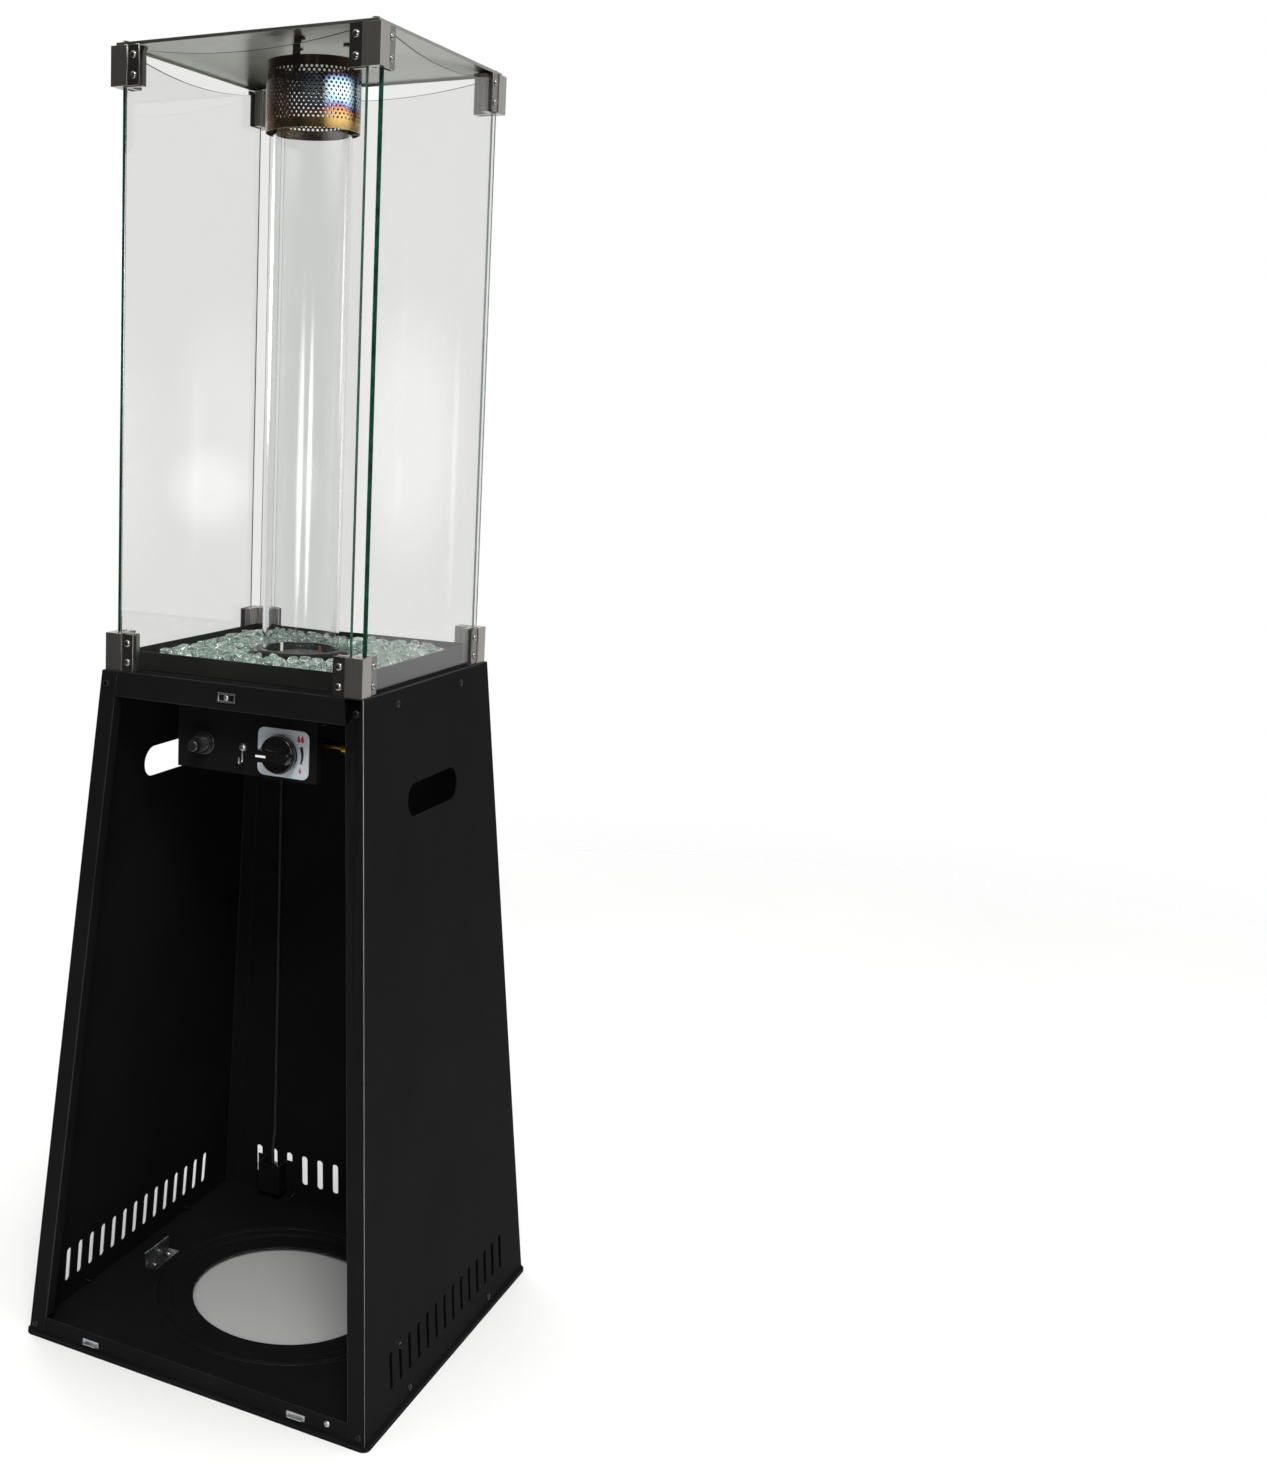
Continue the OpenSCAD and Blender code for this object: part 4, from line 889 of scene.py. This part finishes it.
def make_flame_tube():
    """The tube, with its two ends melted round."""
    low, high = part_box("flame_tube")
    outer, inner = high.x, high.x - TUBE_WALL
    work = bmesh.new()
    lathe(work, [
        (outer - TUBE_LIP, low.z),
        (outer, low.z + TUBE_LIP),
        (outer, high.z - TUBE_LIP),
        (outer - TUBE_LIP, high.z),
        (inner + TUBE_LIP, high.z),
        (inner, high.z - TUBE_LIP),
        (inner, low.z + TUBE_LIP),
        (inner + TUBE_LIP, low.z),
    ], segments=128, closed=True)
    make_piece("flame_tube_drawn", work, [borosilicate_glass], ["flame_tube"])


# The collar's holes: their number, the turn of the first column, their width, spacing and corners
PERF_COLUMNS, PERF_ROWS = 60, 14
PERF_TURN = math.radians(1.8)
PERF_HOLE = 3.0 * MM
PERF_PITCH = 3.8 * MM
PERF_SIDES = 12
COLLAR_SHEET = 1.0 * MM
TAB_WIDTH = 10 * MM
TAB_TURNS = (30, 150, 270)


def make_collar():
    """Perforated sheet rolled to a ring: staggered holes between two plain bands, and three tabs."""
    low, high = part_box("tube_collar")
    radius = high.x
    first = (low.z + high.z) / 2 - (PERF_ROWS - 1) / 2 * PERF_PITCH
    around = 2 * PERF_COLUMNS
    step = 2 * math.pi * radius / around
    work = bmesh.new()

    def rolled(x, z):
        angle = x / radius + PERF_TURN
        return work.verts.new((radius * math.cos(angle), radius * math.sin(angle), z))

    levels = [first + (row - 0.5) * PERF_PITCH for row in range(PERF_ROWS + 1)]
    levels = [low.z] + levels + [high.z]
    rings = [[rolled(i * step, z) for i in range(around)] for z in levels]
    for i in range(around):
        j = (i + 1) % around
        for a, b in ((0, 1), (-2, -1)):
            work.faces.new((rings[a][i], rings[a][j], rings[b][j], rings[b][i]))
    for row in range(PERF_ROWS):
        below, above = rings[row + 1], rings[row + 2]
        for column in range(PERF_COLUMNS):
            left = 2 * column + row % 2
            at = [(left + k) % around for k in range(3)]
            cell = [below[at[0]], below[at[1]], below[at[2]], above[at[2]], above[at[1]], above[at[0]]]
            hole = []
            for k in range(PERF_SIDES):
                angle = 2 * math.pi * (k - 4.5) / PERF_SIDES
                x = (left + 1) * step + PERF_HOLE / 2 * math.cos(angle)
                hole.append(rolled(x, first + row * PERF_PITCH + PERF_HOLE / 2 * math.sin(angle)))
            for k in range(len(cell)):
                inner = [hole[(2 * k + n) % PERF_SIDES] for n in (2, 1, 0)]
                work.faces.new([cell[k], cell[(k + 1) % len(cell)]] + inner)
    skin, rim = list(work.faces), [edge for edge in work.edges if edge.is_boundary]
    shrink = 1 - COLLAR_SHEET / radius
    inside = {vert: work.verts.new((vert.co.x * shrink, vert.co.y * shrink, vert.co.z))
              for vert in list(work.verts)}
    for face in skin:
        work.faces.new([inside[vert] for vert in face.verts])
    for a, b in (edge.verts for edge in rim):
        work.faces.new((a, b, inside[b], inside[a]))
    make_piece("tube_collar_perforated", work, [heat_tinted_stainless], ["tube_collar"])

    tabs = bmesh.new()
    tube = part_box("flame_tube")[1].x
    for turn in TAB_TURNS:
        size = Vector((radius - COLLAR_SHEET - tube, TAB_WIDTH, COLLAR_SHEET))
        middle = Vector(((radius - COLLAR_SHEET + tube) / 2, 0, low.z + COLLAR_SHEET / 2))
        place = Matrix.Rotation(math.radians(turn), 4, "Z") @ Matrix.Translation(middle)
        bmesh.ops.create_cube(tabs, size=1, matrix=place @ Matrix.Diagonal(size).to_4x4())
    bmesh.ops.bevel(tabs, geom=list(tabs.edges), offset=0.3 * MM, segments=2, affect="EDGES")
    make_piece("tube_collar_tabs", tabs, [scaled_steel])
    dress("collar_legs", [scaled_steel], edge=0.2, shortest=1.0)


PEBBLE_TRIES = 2600
PEBBLE_LIMIT = 600
PEBBLE_LEAST, PEBBLE_MOST = 5.2 * MM, 8.6 * MM
PEBBLE_PLACES = 10
# Of a pebble's size: how far it keeps from the wall and cup, how high it lies, and how close it packs
KEEP_FROM_WALL, KEEP_FROM_CUP = 1.15, 1.1
LIES_AT, STANDS_OVER = 0.72, 0.6
PACKS_TO, SINKS_TO = 0.95, 0.74
PEBBLE_DENT, PEBBLE_LEAN = 0.16, 0.5
BED_AT_CUP, BED_AT_WALL, BED_CREST = 10 * MM, 15 * MM, 23 * MM
BED_SLOPE = 32 * MM
TRAY_SHEET = 1.2 * MM


def bed_depth(from_cup, from_wall):
    """How deep the bed may lie: shallow beside the cup and the walls, deepest between them."""
    by_cup = BED_AT_CUP + (BED_CREST - BED_AT_CUP) * min(1, from_cup / BED_SLOPE)
    by_wall = BED_AT_WALL + (BED_CREST - BED_AT_WALL) * min(1, from_wall / BED_SLOPE)
    return min(by_cup, by_wall)


def pebble_spots(draw):
    """Drops pebbles one by one: each tries some places and keeps the lowest rest that it finds."""
    low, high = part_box("fire_tray")
    inside = high.x - TRAY_SHEET
    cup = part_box("burner_cup")[1].x
    floor = low.z + TRAY_SHEET
    spots = []
    for _ in range(PEBBLE_TRIES):
        size = draw.uniform(PEBBLE_LEAST, PEBBLE_MOST)
        best = None
        for _ in range(PEBBLE_PLACES):
            x = draw.uniform(-1, 1) * (inside - KEEP_FROM_WALL * size)
            y = draw.uniform(-1, 1) * (inside - KEEP_FROM_WALL * size)
            if math.hypot(x, y) < cup + KEEP_FROM_CUP * size:
                continue
            z = floor + LIES_AT * size
            for other_x, other_y, other_z, other in spots:
                reach = PACKS_TO * (size + other)
                apart = math.hypot(x - other_x, y - other_y)
                if apart < reach:
                    z = max(z, other_z + SINKS_TO * math.sqrt(reach * reach - apart * apart))
            if best is None or z < best[2]:
                best = (x, y, z, size)
        if best is None or len(spots) == PEBBLE_LIMIT:
            continue
        x, y, z, size = best
        depth = bed_depth(math.hypot(x, y) - cup, inside - max(abs(x), abs(y)))
        if z + STANDS_OVER * size < floor + depth:
            spots.append(best)
    return spots


def make_pebbles():
    """A bed of tumbled glass: rounded lumps, each with its own dents, lean and flatness."""
    draw = random.Random(23)
    work = bmesh.new()
    for x, y, z, size in pebble_spots(draw):
        shape = (draw.uniform(1.0, 1.3), draw.uniform(0.78, 1.0), draw.uniform(0.52, 0.74))
        turn = Matrix.Rotation(draw.uniform(-PEBBLE_LEAN, PEBBLE_LEAN), 4, "X")
        turn = turn @ Matrix.Rotation(draw.uniform(-PEBBLE_LEAN, PEBBLE_LEAN), 4, "Y")
        turn = turn @ Matrix.Rotation(draw.uniform(0, math.tau), 4, "Z")
        offset = Vector((draw.uniform(0, 50), draw.uniform(0, 50), draw.uniform(0, 50)))
        lump = bmesh.ops.create_icosphere(work, subdivisions=2, radius=1)["verts"]
        for vert in lump:
            dent = 1 + PEBBLE_DENT * noise.noise(vert.co * 1.3 + offset)
            scaled = Vector([vert.co[k] * shape[k] * size * dent for k in range(3)])
            vert.co = turn @ scaled + Vector((x, y, z))
    make_piece("glass_pebbles_tumbled", work, [tumbled_glass], ["glass_pebbles"])


# Controls

PRINT_THICK = 0.08 * MM
ARC_RADIUS, ARC_SPAN, ARC_STEPS = 23.0 * MM, math.radians(46), 24
ARC_FOOT, ARC_HEAD = 0.9 * MM, 2.0 * MM
FLAME_STEPS = 28
# Each flame mark's place across and up from the knob's axis, its size and its number of tongues
FLAMES = ((20.5 * MM, 17.5 * MM, 4.2 * MM, 2), (20.5 * MM, -16.0 * MM, 3.0 * MM, 1))


def flat_print(name, outlines, build):
    """Ink shapes on the bezel's face, drawn from outlines in X and Z about the knob's axis."""
    low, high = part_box("bezel_plate")
    middle = (low + high) / 2
    work = bmesh.new()
    for outline in outlines:
        front = [work.verts.new((middle.x + x, low.y - PRINT_THICK, middle.z + z)) for x, z in outline]
        back = [work.verts.new((middle.x + x, low.y, middle.z + z)) for x, z in outline]
        work.faces.new(front)
        work.faces.new(back)
        for i in range(len(outline)):
            j = (i + 1) % len(outline)
            work.faces.new((front[i], front[j], back[j], back[i]))
    make_piece(name, work, [build])


def flame_outline(x, z, size):
    """A flame: a drop that leans to one side at its tip."""
    points = []
    for i in range(FLAME_STEPS):
        t = 2 * math.pi * i / FLAME_STEPS
        width = 0.62 * math.sin(t) * math.sin(t / 2) ** 1.4
        height = math.cos(t)
        points.append((x + size * (width + 0.12 * height * height), z + size * height))
    return points


def arc_outline():
    """The setting mark: an arc that grows from a thin foot to a broad head."""
    inner, outer = [], []
    for i in range(ARC_STEPS + 1):
        share = i / ARC_STEPS
        angle = ARC_SPAN * (share - 0.5)
        half = ARC_FOOT + (ARC_HEAD - ARC_FOOT) * share
        inner.append(((ARC_RADIUS - half) * math.cos(angle), (ARC_RADIUS - half) * math.sin(angle)))
        outer.append(((ARC_RADIUS + half) * math.cos(angle), (ARC_RADIUS + half) * math.sin(angle)))
    return inner + outer[::-1]


def dress_controls():
    """What the hand finds behind the door, and the gas and spark pieces behind it."""
    dress("bezel_plate", [printed_plate], edge=0.3, shortest=0.1)
    flat_print("bezel_setting_arc", [arc_outline()], black_ink)
    tongues = []
    for x, z, size, count in FLAMES:
        for k in range(count):
            tongues.append(flame_outline(x + (k - (count - 1) / 2) * size, z, size))
    flat_print("bezel_flame_marks", tongues, red_ink)
    dress("control_knob", [moulded_plastic], edge=0.5, shortest=4.0, body="knob")
    dress("knob_pointer", [white_ink], edge=0.15, shortest=0.5, body="knob")
    for node, body in (("igniter_body", "heater"), ("igniter_nut", "heater"),
                       ("igniter_button", "igniter_button")):
        dress(node, [polished_phenolic], edge=0.5, shortest=0.3, body=body)
    paint("tip_switch", moulded_plastic)
    for node in ("valve_stem", "stem_washer", "mixing_tube"):
        paint(node, zinc_plated_steel)
    for node in ("gas_valve", "gas_inlet", "gas_pipe"):
        paint(node, turned_brass)
    for node in ("igniter_lead", "tip_switch_lead"):
        paint(node, moulded_rubber)
    paint("thermocouple", drawn_copper)
    paint("ignition_electrode", fired_ceramic)


# Studio

FLOOR_RADIUS = 2.6
FLOOR_MIDDLE = (0.6, 0.4, 0)
# Shares of the floor's radius up to which its paper is whole, and from which it is gone
FLOOR_WHOLE, FLOOR_GONE = 0.4, 0.95
# The painted shade under the heater: the radii between which it ends, and its tone
SHADE_INSIDE, SHADE_RIM, SHADE_TONE = 0.13, 0.2, 0.55
# How bright the room's far left corner, back, front and ceiling are, and what is seen through glass
ROOM_CORNER, ROOM_BACK, ROOM_FRONT, ROOM_CEILING = 0.92, 0.65, 0.05, 1.1
BEHIND_GLASS = 0.92
# Shares of a lamp's side: its glow is even up to the first and gone at the second
GLOW_EVEN, GLOW_GONE = 0.15, 0.5
PANEL_GLOW = 7.1
# Each lamp's place, what it points at, its width and height, and its power in watts
SOFT_BOXES = {
    "key_light": ((1.3, -2.3, 3.3), (0, 0, 0.5), 1.7, 1.7, 240),
    "side_light": ((3.0, 0.1, 2.05), (0, 0, 1.3), 6.0, 1.2, 56),
    "left_glint": ((-1.63, -2.70, 0.78), (0, 0, 0.94), 0.3, 0.3, 0.4),
    "right_glint": ((1.45, 2.67, 0.94), (0, 0, 1.0), 0.4, 0.9, 0.6),
}
# The same for low lights that show in reflections, but not straight through the lantern
GLOW_PANELS = {
    "front_light": ((0.56, -2.44, 0.85), (0, 0, 0.75), 0.9, 1.0),
    "corner_light": ((1.64, -1.89, 0.85), (0, 0, 0.75), 0.7, 1.0),
    "rear_fill": ((-2.4, 1.6, 1.3), (0, 0, 0.5), 1.0, 1.0),
}


def seen_through_glass(tree):
    """One for a ray that has passed straight through glass and met nothing else, or zero."""
    path = add(tree, "LightPath")
    bounces = add(tree, "Math", {0: path.outputs["Glossy Depth"], 1: path.outputs["Diffuse Depth"]})
    unbent = add(tree, "Math", {0: bounces.outputs["Value"], 1: 0.5}, operation="LESS_THAN")
    through = add(tree, "Math", {0: unbent.outputs["Value"], 1: path.outputs["Is Transmission Ray"]},
                  operation="MULTIPLY")
    return through.outputs["Value"]


def glow_at(tree, from_middle, most):
    """How strongly a lamp glows at a distance from its middle."""
    fade = add(tree, "MapRange", {
        "Value": from_middle,
        "From Min": GLOW_EVEN,
        "From Max": GLOW_GONE,
        "To Min": most,
        "To Max": 0.0,
    }, interpolation_type="SMOOTHSTEP")
    return fade.outputs["Result"]


def pointed(place, target):
    """The placement of a lamp that faces a target."""
    aim = Vector(target) - Vector(place)
    return Matrix.Translation(place) @ aim.to_track_quat("-Z", "Y").to_matrix().to_4x4()


def set_on_stage(name, work, build, place):
    """Turns a bmesh into a piece of the studio."""
    data = bpy.data.meshes.new(name)
    work.to_mesh(data)
    work.free()
    data.materials.append(finish(build))
    piece = bpy.data.objects.new(name, data)
    piece.matrix_world = place
    bpy.context.scene.collection.objects.link(piece)
    return piece


def make_floor():
    """A round of pale paper."""
    work = bmesh.new()
    bmesh.ops.create_circle(work, cap_ends=True, segments=96, radius=FLOOR_RADIUS,
                            matrix=Matrix.Translation(FLOOR_MIDDLE))
    set_on_stage("studio_floor", work, studio_paper, Matrix())


def make_room():
    """A white room for the camera; for the part's reflections, one that is darker towards the front."""
    world = bpy.data.worlds.new("studio")
    world.use_nodes = True
    tree = world.node_tree
    tree.nodes.clear()
    facing = add(tree, "TexCoord").outputs["Generated"]
    split = add(tree, "SeparateXYZ", {"Vector": facing})
    back_left = add(tree, "Math", {
        0: split.outputs["X"],
        1: -0.5,
        2: split.outputs["Y"],
    }, operation="MULTIPLY_ADD")
    corner = add(tree, "MapRange", {
        "Value": back_left.outputs["Value"],
        "From Min": 0.45,
        "From Max": 0.95,
        "To Min": 0.0,
        "To Max": ROOM_CORNER,
    })
    back = add(tree, "MapRange", {
        "Value": split.outputs["Y"],
        "From Min": -0.3,
        "From Max": 0.4,
        "To Min": ROOM_FRONT,
        "To Max": ROOM_BACK,
    })
    ceiling = add(tree, "MapRange", {
        "Value": split.outputs["Z"],
        "From Min": 0.45,
        "From Max": 0.75,
        "To Min": 0.0,
        "To Max": ROOM_CEILING,
    })
    walls = add(tree, "Math", {0: corner.outputs["Result"], 1: back.outputs["Result"]}, operation="MAXIMUM")
    room = add(tree, "Math", {0: walls.outputs["Value"], 1: ceiling.outputs["Result"]}, operation="MAXIMUM")
    path = add(tree, "LightPath")
    through = add(tree, "Math", {0: seen_through_glass(tree), 1: BEHIND_GLASS}, operation="MULTIPLY")
    seen = add(tree, "Math", {0: path.outputs["Is Camera Ray"], 1: through.outputs["Value"]},
               operation="MAXIMUM")
    level = add(tree, "Math", {0: room.outputs["Value"], 1: seen.outputs["Value"]}, operation="MAXIMUM")
    glow = add(tree, "Background", {"Color": linear("#ffffff"), "Strength": level.outputs["Value"]})
    add(tree, "OutputWorld", {"Surface": glow.outputs["Background"]})
    bpy.context.scene.world = world


def make_glow_panel(name, place, target, width, height):
    """A low light: a sheet that glows and casts no shadow."""
    work = bmesh.new()
    bmesh.ops.create_grid(work, x_segments=1, y_segments=1, size=0.5)
    bmesh.ops.reverse_faces(work, faces=work.faces)
    size = Matrix.Diagonal((width, height, 1, 1))
    panel = set_on_stage(name, work, glowing_panel, pointed(place, target) @ size)
    panel.visible_shadow = False


def make_soft_box(name, place, target, width, height, power):
    """An area lamp that fades towards its rim."""
    data = bpy.data.lights.new(name, "AREA")
    data.shape = "RECTANGLE"
    data.size = width
    data.size_y = height
    data.energy = power
    data.use_nodes = True
    tree = data.node_tree
    tree.nodes.clear()
    spot = add(tree, "NewGeometry").outputs["Parametric"]
    away = add(tree, "VectorMath", {0: spot, 1: (0.5, 0.5, 0.0)}, operation="DISTANCE")
    glow = add(tree, "Emission", {"Strength": glow_at(tree, away.outputs["Value"], 1.0)})
    add(tree, "OutputLight", {"Surface": glow.outputs["Emission"]})
    light = bpy.data.objects.new(name, data)
    light.matrix_world = pointed(place, target)
    bpy.context.scene.collection.objects.link(light)


def make_studio():
    """The floor, the room and the lamps."""
    bpy.context.scene.view_settings.view_transform = "Standard"
    make_floor()
    make_room()
    for name, lamp in SOFT_BOXES.items():
        make_soft_box(name, *lamp)
    for name, lamp in GLOW_PANELS.items():
        make_glow_panel(name, *lamp)


make_camera()
make_studio()
dress_cabinet()
make_screws()
make_panes()
dress_clamps()
make_flame_tube()
make_collar()
make_pebbles()
dress_controls()
